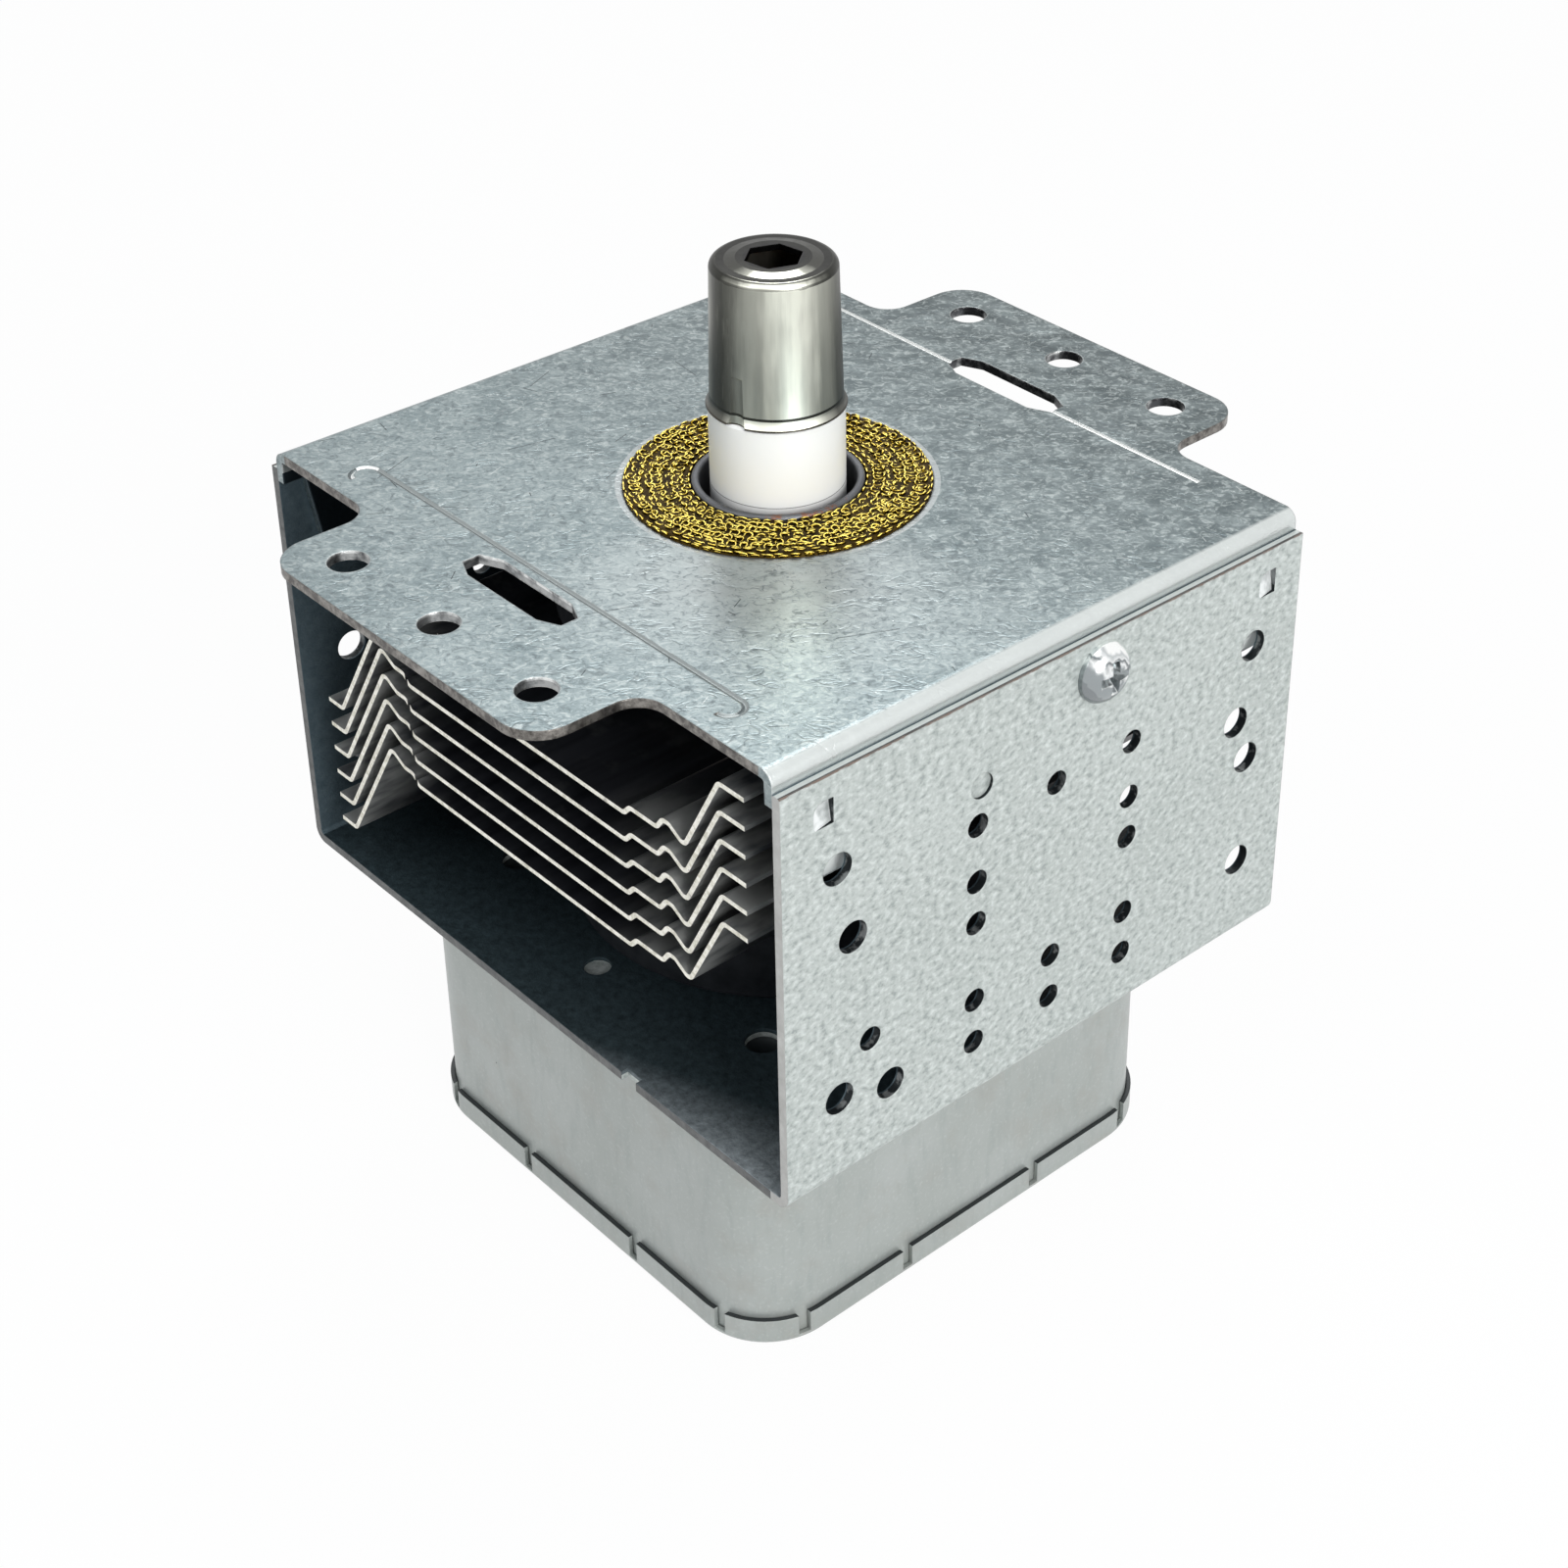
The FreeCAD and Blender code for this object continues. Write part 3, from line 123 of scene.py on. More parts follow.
# Knitted wire of the gasket, in two layers. The lower one has a drop, and a shift outwards in shares of
# a row. The innermost and the outermost row are sunk a little.
KNIT_INNER = COLLAR_RADIUS + 0.45 * MM
KNIT_OUTER = GASKET_RADIUS - 0.28 * MM
KNIT_LIMITS = (KNIT_INNER - 0.2 * MM, KNIT_OUTER + 0.08 * MM)
KNIT_ROWS = 7
STITCH = 1.5 * MM
STITCH_STEPS = 12
WIRE_RADIUS = 0.15 * MM
WIRE_SIDES = 5
LOWER_LAYER = (0.2 * MM, 0.45)
ROW_SINKS = {0: 0.08 * MM, KNIT_ROWS - 1: 0.24 * MM}

# Camera, as fitted to the photograph: a 36 mm sensor and a shifted lens
CAMERA_PLACE = Vector((224.85, -187.18, 160.62)) * MM
CAMERA_AZIMUTH = math.radians(46.45)
CAMERA_ELEVATION = math.radians(30.48)
CAMERA_ROLL = math.radians(0.74)
CAMERA_LENS = 64.73
CAMERA_SENSOR = 36
CAMERA_SHIFT = (-0.0996, -0.1405)

# Lamps: name, place, size in metres and power in watts
LAMPS = (
    ("top_softbox", (0.20, -0.18, 1.15), 0.8, 3.4),
    ("back_softbox", (-0.60, 0.52, 1.02), 0.45, 3.7),
    ("side_softbox", (0.88, -0.16, 0.38), 0.5, 7.4),
    ("front_fill", (-0.15, -0.95, 0.40), 0.6, 2.2),
)
LAMP_AIM = (0, 0, -0.03)
FLOOR_REACH = 6.0
FLOOR_WHITE_SHARE = 0.955
SKY_COLOUR = (0.80, 0.90, 1.0, 1)
SKY_STRENGTH = 0.28


def add_camera():
    data = bpy.data.cameras.new("camera")
    data.lens = CAMERA_LENS
    data.sensor_width = CAMERA_SENSOR
    data.sensor_fit = "HORIZONTAL"
    data.shift_x, data.shift_y = CAMERA_SHIFT
    data.clip_start = 0.01
    data.clip_end = 50
    camera = bpy.data.objects.new("camera", data)
    bpy.context.collection.objects.link(camera)
    back = Vector((
        math.sin(CAMERA_AZIMUTH) * math.cos(CAMERA_ELEVATION),
        -math.cos(CAMERA_AZIMUTH) * math.cos(CAMERA_ELEVATION),
        math.sin(CAMERA_ELEVATION),
    ))
    right = (-back).cross(Vector((0, 0, 1))).normalized()
    up = right.cross(-back)
    turned_right = right * math.cos(CAMERA_ROLL) + up * math.sin(CAMERA_ROLL)
    turned_up = up * math.cos(CAMERA_ROLL) - right * math.sin(CAMERA_ROLL)
    camera.matrix_world = Matrix([
        (turned_right.x, turned_up.x, back.x, CAMERA_PLACE.x),
        (turned_right.y, turned_up.y, back.y, CAMERA_PLACE.y),
        (turned_right.z, turned_up.z, back.z, CAMERA_PLACE.z),
        (0, 0, 0, 1),
    ])
    bpy.context.scene.camera = camera


class Shader:
    """A node material with one Principled shader, built by short calls.

    A value is a number, a colour or another node's output. A mask is a value from 0 to 1.
    """

    def __init__(self, name):
        self.material = bpy.data.materials.new(name)
        self.material.use_nodes = True
        self.tree = self.material.node_tree
        self.tree.nodes.clear()
        self.output = self.node("OutputMaterial")
        self.surface = self.node("BsdfPrincipled")
        self.link(self.surface.outputs[0], self.output.inputs["Surface"])
        self.place = self.node("TexCoord").outputs["Object"]
        self.normal = self.node("NewGeometry").outputs["Normal"]
        self.x, self.y, self.z = self.parts(self.place)
        self.facing_x, self.facing_y, self.facing_z = self.parts(self.normal)
        self.out_x = self.absolute(self.x)
        self.out_y = self.absolute(self.y)

    def node(self, kind, **settings):
        """A new shader node with its settings."""
        node = self.tree.nodes.new("ShaderNode" + kind)
        for name, value in settings.items():
            setattr(node, name, value)
        return node

    def link(self, source, target):
        self.tree.links.new(source, target)

    def put(self, value, target):
        """Sets a socket to a number or colour, or links it to another socket."""
        if hasattr(value, "is_output"):
            self.link(value, target)
        elif target.type == "RGBA":
            target.default_value = (*value, 1)
        else:
            target.default_value = value

    def finish(self, **values):
        """Sets the Principled shader's inputs, by their names in small letters, and gives the material."""
        for name, value in values.items():
            self.put(value, self.surface.inputs[name.replace("_", " ").title().replace("Ior", "IOR")])
        return self.material

    def number(self, kind, a, b=0.0):
        node = self.node("Math", operation=kind)
        self.put(a, node.inputs[0])
        self.put(b, node.inputs[1])
        return node.outputs[0]

    # Sums of one step; above and below give 1 or 0
    add = partialmethod(number, "ADD")
    minus = partialmethod(number, "SUBTRACT")
    times = partialmethod(number, "MULTIPLY")
    larger = partialmethod(number, "MAXIMUM")
    absolute = partialmethod(number, "ABSOLUTE")
    above = partialmethod(number, "GREATER_THAN")
    below = partialmethod(number, "LESS_THAN")

    def between(self, value, limits):
        """1 where the value lies between two limits."""
        low, high = limits
        return self.both(self.above(value, low), self.below(value, high))

    def along(self, facing, limit=0.7):
        """1 on faces that point along an axis, either way."""
        return self.above(self.absolute(facing), limit)

    def both(self, *masks):
        """1 where all the masks are 1."""
        total = masks[0]
        for mask in masks[1:]:
            total = self.times(total, mask)
        return total

    def vector(self, kind, a, b=(0, 0, 0)):
        node = self.node("VectorMath", operation=kind)
        self.put(a, node.inputs[0])
        self.put(b, node.inputs[1])
        return node.outputs["Value" if kind in ("DOT_PRODUCT", "LENGTH") else "Vector"]

    def parts(self, source):
        """The X, Y and Z of a vector, or the red, green and blue of a colour."""
        node = self.node("SeparateXYZ")
        self.link(source, node.inputs[0])
        return tuple(node.outputs)

    def radius(self):
        """Distance from the Z axis."""
        return self.vector("LENGTH", self.vector("MULTIPLY", self.place, (1, 1, 0)))

    def around(self, degrees):
        """Cosine of the angle about Z between the place and a direction."""
        unit = self.vector("NORMALIZE", self.vector("MULTIPLY", self.place, (1, 1, 0)))
        angle = math.radians(degrees)
        return self.vector("DOT_PRODUCT", unit, (math.cos(angle), math.sin(angle), 0))

    def mix(self, share, a, b):
        """Colour a where the share is 0 and colour b where it is 1."""
        node = self.node("Mix", data_type="RGBA")
        self.put(share, node.inputs["Factor"])
        colour_a, colour_b = [socket for socket in node.inputs if socket.type == "RGBA"]
        self.put(a, colour_a)
        self.put(b, colour_b)
        return next(socket for socket in node.outputs if socket.type == "RGBA")

    def lay(self, tone, colour, *masks):
        """The tone, with a colour over it where all the masks are 1."""
        return self.mix(self.both(*masks), tone, colour)

    def ramp(self, value, *stops):
        """Maps a value through (position, grey or colour) stops."""
        node = self.node("ValToRGB")
        self.put(value, node.inputs[0])
        elements = node.color_ramp.elements
        while len(elements) < len(stops):
            elements.new(0.5)
        for element, (position, colour) in zip(elements, stops):
            element.position = position
            element.color = (*colour, 1) if isinstance(colour, tuple) else (colour, colour, colour, 1)
        return node.outputs[0]

    def fade(self, value, start, end, most=1.0):
        """Goes from 0 at the start to the most at the end, which may lie below the start."""
        return self.ramp(value, *sorted([(start, 0.0), (end, most)]))

    def noise(self, size, detail=3.0, rough=0.55, stretch=(1, 1, 1), turn=0.0, distortion=0.0):
        """Cloudy noise, 0 to 1, with blotches of about the given size in mm.

        It is stretched along X, Y and Z after a turn about Z in degrees.
        """
        mapping = self.node("Mapping", vector_type="TEXTURE")
        self.link(self.place, mapping.inputs["Vector"])
        mapping.inputs["Scale"].default_value = stretch
        mapping.inputs["Rotation"].default_value = (0, 0, math.radians(turn))
        node = self.node("TexNoise")
        self.link(mapping.outputs[0], node.inputs["Vector"])
        node.inputs["Scale"].default_value = 1 / (size * MM)
        node.inputs["Detail"].default_value = detail
        node.inputs["Roughness"].default_value = rough
        node.inputs["Distortion"].default_value = distortion
        return node.outputs["Fac"]

    def mottle(self, size, detail, rough, start, end):
        """Noise with its contrast raised between two levels."""
        return self.fade(self.noise(size, detail, rough), start, end)

    def cells(self, size, flat=False):
        """Voronoi cells of about the given size in mm."""
        node = self.node("TexVoronoi", voronoi_dimensions="2D" if flat else "3D")
        self.link(self.place, node.inputs["Vector"])
        node.inputs["Scale"].default_value = 1 / (size * MM)
        return node.outputs

    def strokes(self, size, width, stretch=(1, 1, 1), turn=0.0):
        """Thin wavy lines, 0 to 1."""
        wave = self.noise(size, 2.0, 0.5, stretch, turn, 0.6)
        return self.fade(self.absolute(self.minus(wave, 0.5)), width, 0.0)

    def nicks(self, size, length, width, share):
        """Short straight scratches at random angles on a level face, sizes in mm."""
        cells = self.cells(size, True)
        spin, reach, chance = self.parts(cells["Color"])
        x, y = self.parts(self.vector("SUBTRACT", self.place, cells["Position"]))[:2]
        angle = self.times(spin, 2 * math.pi)
        cosine = self.number("COSINE", angle)
        sine = self.number("SINE", angle)
        along = self.add(self.times(x, cosine), self.times(y, sine))
        aside = self.minus(self.times(y, cosine), self.times(x, sine))
        inside = self.below(self.absolute(along), self.times(reach, length * MM))
        thin = self.below(self.absolute(aside), width * MM)
        return self.both(inside, thin, self.below(chance, share))

    def specks(self, size, radius, share):
        """Small round dots, 0 or 1, sizes in mm."""
        cells = self.cells(size)
        chance = self.parts(cells["Color"])[0]
        return self.both(self.below(cells["Distance"], radius / size), self.below(chance, share))

    def bump(self, height, depth, strength=1.0, normal=None):
        """Normals of a relief of the given depth, over other normals if there are any."""
        node = self.node("Bump")
        self.put(height, node.inputs["Height"])
        node.inputs["Distance"].default_value = depth
        node.inputs["Strength"].default_value = strength
        if normal is not None:
            self.link(normal, node.inputs["Normal"])
        return node.outputs[0]

    def rounded(self, radius):
        """Normals as if each edge had a small round, its radius in mm."""
        node = self.node("Bevel", samples=4)
        node.inputs["Radius"].default_value = radius * MM
        return node.outputs[0]

    def edges(self, rounded):
        """1 on the edges that rounded normals turn away from the face."""
        turned = self.minus(1.0, self.vector("DOT_PRODUCT", rounded, self.normal))
        return self.fade(turned, 0.01, 0.12)


def plate_ground(skin):
    """Cloudy blue-grey zinc, with painted shade darkening it towards the back and a painted pale reflection
    of the ceramic in front of the gasket.
    """
    cloud = skin.mottle(28, 3.0, 0.6, 0.35, 0.65)
    tone = skin.mix(cloud, (0.188, 0.238, 0.250), (0.265, 0.318, 0.328))
    # Painted shade: the zinc darkens towards the back.
    painted_back_shade = skin.fade(skin.add(skin.times(skin.y, 9.0), 0.5), 0.3, 0.95)
    tone = skin.lay(tone, (0.056, 0.075, 0.079), painted_back_shade)
    # Painted reflection of the ceramic: pale zinc in front of the gasket.
    ahead = skin.ramp(skin.around(-44), (0.6, 0.0), (0.9, 0.6), (1.0, 1.0))
    near = skin.ramp(skin.radius(), (0.018, 1.0), (0.026, 0.85), (0.036, 0.3), (0.046, 0.0))
    return skin.lay(tone, (0.60, 0.62, 0.61), ahead, near, 0.62)


def plate_marks(skin, tone, blotch, fleck, wave):
    """Blotches, fleck, wavy strokes, nicks and specks over the zinc."""
    tone = skin.lay(tone, (0.296, 0.342, 0.345), skin.fade(blotch, 0.38, 0.7, 0.6))
    tone = skin.lay(tone, (0.44, 0.487, 0.485), skin.fade(fleck, 0.5, 0.67, 0.72))
    tone = skin.lay(tone, (0.10, 0.125, 0.135), skin.fade(fleck, 0.47, 0.33, 0.72))
    tone = skin.lay(tone, (0.095, 0.118, 0.128), wave, 0.42)
    dark_nick = skin.larger(skin.nicks(6.5, 1.3, 0.065, 0.32), skin.nicks(15.0, 3.6, 0.055, 0.45))
    tone = skin.lay(tone, (0.035, 0.045, 0.05), dark_nick, 0.85)
    tone = skin.lay(tone, (0.60, 0.63, 0.62), skin.nicks(11.0, 1.2, 0.06, 0.4), 0.5)
    return skin.lay(tone, (0.68, 0.71, 0.70), skin.specks(3.6, 0.11, 0.1))


def plate_edges(skin, tone, soft, bend, bored):
    """Painted highlights on the bends, and on the top edges round the holes and at the +X bend; the top edges
    are dull elsewhere.
    """
    outward = skin.fade(skin.facing_x, 0.12, 0.4, 0.85)
    inward = skin.fade(skin.times(skin.facing_x, -1.0), 0.6, 0.75, 0.85)
    # Painted highlight on the outward-turning faces of the bends.
    tone = skin.lay(tone, (0.74, 0.775, 0.76), bend, skin.larger(outward, inward))
    broken = skin.ramp(skin.noise(2.5, 3.0), (0.35, 0.2), (0.6, 0.9))
    # Painted highlight on the rounded top edges round the holes and on those facing +X.
    bright = skin.larger(bored, skin.above(skin.facing_x, 0.25))
    colour = skin.mix(bright, (0.20, 0.21, 0.205), (0.66, 0.70, 0.69))
    return skin.lay(tone, colour, skin.edges(soft), skin.above(skin.z, TOP_ROUND), broken)


def plate_cuts(skin, tone, bored, behind):
    """Raw brownish outer cuts, and grey walls of the holes and slots with a dark band."""
    upright = skin.below(skin.absolute(skin.facing_z), 0.3)
    raw = skin.mix(skin.mottle(1.2, 4.0, 0.7, 0.4, 0.62), (0.085, 0.078, 0.072), (0.27, 0.255, 0.235))
    # Noise, lowered for the holes behind the middle, so their walls come out darker.
    bore_mottle = skin.add(skin.noise(1.8, 3.0, 0.6), skin.times(behind, -0.17))
    bore = skin.ramp(
        bore_mottle,
        (0.30, (0.05, 0.05, 0.055)),
        (0.42, (0.36, 0.37, 0.37)),
        (0.55, (0.74, 0.75, 0.74)),
    )
    bore = skin.lay(bore, (0.09, 0.095, 0.10), skin.between(skin.z, CUT_MIDDLE), 0.55)
    return skin.lay(tone, skin.mix(bored, raw, bore), upright, skin.below(skin.out_x, PLATE_EDGE))


def plate_scores(skin, tone, bend, behind):
    """Pressed score lines: painted shade on one flank and painted light on the other, brightest at the hook
    on the front line's -X end.
    """
    sunk = skin.between(skin.z, SCORE_LEVELS)
    groove = skin.both(sunk, skin.above(skin.facing_z, 0.4), skin.below(bend, 0.5))
    hook = skin.both(skin.below(behind, 0.5), skin.below(skin.x, SCORE_HOOK))
    # Painted light on the flank facing -Y, brighter on the back line; painted shade on the flank facing +Y.
    lit = skin.mix(behind, (0.30, 0.33, 0.33), (0.62, 0.64, 0.63))
    lit = skin.lay(lit, (0.84, 0.86, 0.85), hook)
    return skin.lay(tone, skin.mix(skin.below(skin.facing_y, 0.0), (0.12, 0.14, 0.145), lit), groove)


def plate_finish():
    """Blue-grey zinc of the top plate, with its marks, edges, cuts and score lines, painted highlights and
    reflections on top, and painted shade underneath.
    """
    skin = Shader("plate_finish")
    blotch = skin.noise(3.4, 4.0, 0.65, (1.4, 1, 1), PLATE_GRAIN)
    fleck = skin.noise(0.85, 4.0, 0.65, (1.3, 1, 1), PLATE_GRAIN, 1.2)
    wave = skin.both(skin.strokes(1.9, 0.05, (1.7, 1, 1), PLATE_GRAIN), skin.mottle(5, 2.0, 0.55, 0.45, 0.6))
    soft = skin.rounded(0.32)
    bend = skin.above(skin.out_x, PLATE_BEND)
    bored = skin.both(skin.below(skin.out_x, HOLES_REACH[0]), skin.below(skin.out_y, HOLES_REACH[1]))
    behind = skin.above(skin.y, 0.0)
    tone = plate_marks(skin, plate_ground(skin), blotch, fleck, wave)
    tone = plate_edges(skin, tone, soft, bend, bored)
    tone = plate_cuts(skin, tone, bored, behind)
    tone = plate_scores(skin, tone, bend, behind)
    # Painted highlight on the rim of the opening round the gasket.
    tone = skin.lay(tone, (0.52, 0.54, 0.54), skin.below(skin.radius(), GASKET_RIM_HIGHLIGHT), 0.5)
    # Painted shade on the plate's underside and on the flanges' inner faces.
    flange = skin.both(skin.below(skin.z, FLANGE_LEVEL), skin.below(skin.out_x, FLANGE_REACH))
    tone = skin.lay(tone, (0.035, 0.05, 0.06), skin.larger(skin.below(skin.facing_z, -0.3), flange))
    rough = skin.ramp(blotch, (0.3, 0.27), (0.7, 0.34))
    relief = skin.bump(wave, -0.03 * MM, 0.6, skin.bump(fleck, 0.05 * MM, 0.35, soft))
    return skin.finish(base_color=tone, metallic=0.85, roughness=rough, normal=relief)


def wall_ground(skin, peel, fine):
    """Pale orange-peel zinc with bright specks, and a mottled white painted highlight on the pressed marks.
    """
    tone = skin.mix(skin.mottle(22, 4.0, 0.6, 0.3, 0.7), (0.44, 0.475, 0.455), (0.49, 0.525, 0.505))
    tone = skin.lay(tone, (0.66, 0.695, 0.675), skin.fade(peel, 0.50, 0.68, 0.75))
    tone = skin.lay(tone, (0.28, 0.31, 0.30), skin.fade(peel, 0.47, 0.34, 0.75))
    tone = skin.lay(tone, (0.40, 0.44, 0.43), skin.fade(fine, 0.45, 0.3, 0.4))
    tone = skin.lay(tone, (0.85, 0.87, 0.86), skin.specks(3.5, 0.14, 0.1))
    tilted = skin.between(skin.absolute(skin.facing_x), (0.5, 0.998))
    pressed = skin.both(tilted, skin.above(skin.out_x, WALL_ZONE), skin.above(skin.z, MARKS_FOOT))
    # Painted highlight on the tilted faces of the pressed marks, mottled grey to white.
    colour = skin.ramp(skin.noise(2.0, 2.0), (0.35, (0.42, 0.45, 0.44)), (0.6, (0.82, 0.84, 0.83)))
    return skin.lay(tone, colour, pressed)


def wall_edges(skin, tone, front):
    """Cut front edges, with painted shade on all but the +X wall's, and top edges with a painted shadow in
    the gap and a broken brown burr.
    """
    streak = skin.noise(1.5, 4.0, 0.6)
    pale = skin.mix(streak, (0.36, 0.355, 0.34), (0.60, 0.60, 0.58))
    dark = skin.mix(streak, (0.04, 0.045, 0.048), (0.24, 0.24, 0.235))
    # Painted shade on every front edge but the +X wall's.
    tone = skin.lay(tone, skin.mix(skin.below(skin.x, SHADED_EDGE), pale, dark), front)
    top = skin.both(skin.along(skin.facing_z), skin.above(skin.z, TOP_FACE))
    tone = skin.lay(tone, (0.56, 0.59, 0.575), top)
    # Painted shadow in the gap along the outer side of the wall's top.
    gap = skin.mix(streak, (0.02, 0.024, 0.026), (0.16, 0.155, 0.15))
    tone = skin.lay(tone, gap, top, skin.above(skin.out_x, SEAM_GAP))
    broken = skin.ramp(skin.noise(2.2, 4.0, 0.7), (0.42, 0.15), (0.6, 0.9))
    burr = skin.both(skin.above(skin.z, BURR_LEVEL), skin.above(skin.out_x, BURR_REACH), broken)
    return skin.lay(tone, (0.20, 0.145, 0.12), burr)


def wall_holes(skin, tone):
    """Painted shade on the walls of the round holes."""
    bore = skin.both(
        skin.below(skin.absolute(skin.facing_x), 0.5),
        skin.below(skin.out_y, BORES_DEPTH),
        skin.above(skin.out_x, BORE_REACH),
        skin.between(skin.z, BORE_LEVELS),
    )
    # Painted shade: dark mottled walls in the holes.
    colour = skin.mix(skin.mottle(1.4, 3.0, 0.55, 0.5, 0.62), (0.02, 0.024, 0.026), (0.20, 0.21, 0.21))
    return skin.lay(tone, colour, bore)


def wall_inside(skin, tone, front):
    """Painted navy shade inside the channel: the walls darken towards the back, and the base is black at the
    back, navy towards the front and has painted light at its front right corner.
    """
    cloud = skin.noise(1.2, 4.0, 0.7)
    near = skin.add(skin.times(skin.x, 4.0), skin.times(skin.y, -12.0))
    # Painted shade on the base, rising to painted light at its front right corner.
    level = skin.ramp(
        skin.add(near, 0.05),
        (0.08, (0.002, 0.004, 0.005)),
        (0.42, (0.08, 0.12, 0.137)),
        (0.56, (0.09, 0.13, 0.145)),
        (0.68, (0.70, 0.78, 0.82)),
    )
    base = skin.mix(cloud, (0.0, 0.0, 0.0), level)
    depth = skin.ramp(skin.times(skin.y, -25.0), (0.2, 0.5), (0.9, 1.0))
    navy = skin.mix(cloud, (0.040, 0.065, 0.080), (0.125, 0.165, 0.185))
    wall = skin.mix(depth, (0.02, 0.035, 0.043), navy)
    colour = skin.mix(skin.above(skin.out_x, WALL_ZONE), base, wall)
    inside = skin.both(skin.below(skin.out_x, WALL_INSIDE), skin.above(skin.z, BASE_LEVEL))
    return skin.lay(tone, colour, inside, skin.below(front, 0.5))


def wall_finish():
    """Pale zinc of the folded walls, with raw edges, painted highlights on the pressed marks and painted
    shade inside.
    """
    skin = Shader("wall_finish")
    peel = skin.noise(0.8, 3.0, 0.6, (1, 1.25, 0.9))
    fine = skin.noise(0.4, 3.0, 0.6)
    front = skin.both(skin.along(skin.facing_y), skin.above(skin.out_y, FRONT_EDGE))
    tone = wall_edges(skin, wall_ground(skin, peel, fine), front)
    tone = wall_inside(skin, wall_holes(skin, tone), front)
    rough = skin.ramp(peel, (0.3, 0.38), (0.7, 0.52))
    relief = skin.bump(skin.add(peel, skin.times(fine, 0.3)), 0.22 * MM, 0.5, skin.rounded(0.2))
    return skin.finish(base_color=tone, metallic=0.4, roughness=rough, specular_ior_level=0.12, normal=relief)


def filter_finish():
    """Smooth dull zinc of the filter box and its lid, with the dark cut edge and painted shadow on the lid's
    rim, and painted shade under the yoke.
    """
    skin = Shader("filter_finish")
    streak = skin.noise(1.4, 3.0, 0.6, (1, 1, 4))
    fine = skin.noise(0.5, 2.0, 0.6)
    tone = skin.mix(skin.mottle(24, 4.0, 0.6, 0.3, 0.7), (0.345, 0.37, 0.35), (0.42, 0.445, 0.43))
    tone = skin.lay(tone, (0.28, 0.31, 0.30), skin.fade(streak, 0.5, 0.3, 0.35))
    tone = skin.lay(tone, (0.52, 0.55, 0.53), skin.fade(fine, 0.55, 0.75, 0.4))
    tone = skin.lay(tone, (0.32, 0.30, 0.27), skin.fade(skin.noise(9, 4.0, 0.7), 0.52, 0.72, 0.4))
    tone = skin.lay(tone, (0.14, 0.15, 0.15), skin.specks(6.0, 0.14, 0.15))
    # Dark on the lid's rim: the tabs' dark cut edge, and painted shadow beside them.
    rim = skin.both(skin.along(skin.facing_z), skin.between(skin.z, RIM_LEVELS))
    tone = skin.lay(tone, (0.03, 0.034, 0.036), rim)
    # Painted shade on the upward faces under the yoke.
    shade_under_yoke = skin.both(skin.above(skin.facing_z, 0.7), skin.above(skin.z, UNDER_YOKE))
    tone = skin.lay(tone, (0.03, 0.036, 0.04), shade_under_yoke)
    relief = skin.bump(fine, 0.03 * MM, 0.3, skin.rounded(0.22))
    return skin.finish(base_color=tone, metallic=0.4, roughness=0.38, normal=relief)


def fin_finish():
    """Rolled aluminium: dark between the fins with painted shade, with painted glints at the tabs, and cream
    where the sheet was cut.
    """
    skin = Shader("fin_finish")
    grain = skin.noise(3.0, 3.0, 0.6, (1.0, 12.0, 1.0))
    # Painted shade: the fins' faces nearly black, with a streaky grain.
    tone = skin.mix(skin.fade(grain, 0.3, 0.7), (0.008, 0.009, 0.012), (0.04, 0.042, 0.05))
    tone = skin.lay(tone, (0.11, 0.115, 0.11), skin.fade(skin.noise(5.0, 4.0, 0.65), 0.56, 0.75, 0.5))
    ripple = skin.noise(3.2, 3.0, 0.5, (1.0, 2.5, 1.0))
    # Painted glints on the tabs.
    glint = skin.ramp(ripple, (0.32, (0.08, 0.085, 0.095)), (0.58, (0.62, 0.625, 0.60)))
    tone = skin.lay(tone, glint, skin.fade(skin.out_y, *TABS_Y), skin.fade(skin.out_x, *TABS_X))
    cut = skin.mix(skin.mottle(0.8, 3.0, 0.7, 0.35, 0.6), (0.62, 0.60, 0.50), (0.92, 0.90, 0.82))
    cut = skin.lay(cut, (0.26, 0.24, 0.20), skin.fade(skin.noise(1.6, 4.0, 0.7), 0.6, 0.7, 0.7))
    edge = skin.along(skin.facing_y, 0.8)
    tone = skin.lay(tone, cut, edge)
    rough = skin.ramp(edge, (0.0, 0.36), (1.0, 0.5))
    return skin.finish(base_color=tone, metallic=0.55, roughness=rough)


def steel(grey):
    """Slightly warm grey of the cap's steel."""
    return grey, grey * 1.01, grey * 0.89


def cap_side(skin, wander):
    """Painted reflections: dark and bright bands up the side of the cap, their edges wandering with the draw
    marks.
    """
    # Painted reflection, bright round -25 degrees about Z and dark elsewhere.
    side = skin.ramp(
        skin.add(skin.around(-25), wander),
        (0.42, steel(0.07)),
        (0.60, steel(0.15)),
        (0.74, steel(0.31)),
        (0.87, steel(0.42)),
        (0.97, steel(0.68)),
        (1.0, steel(0.76)),
    )
    # A second painted reflection, towards the back left.
    return skin.lay(side, steel(0.45), skin.fade(skin.add(skin.around(-168), wander), 0.5, 0.92, 0.8))


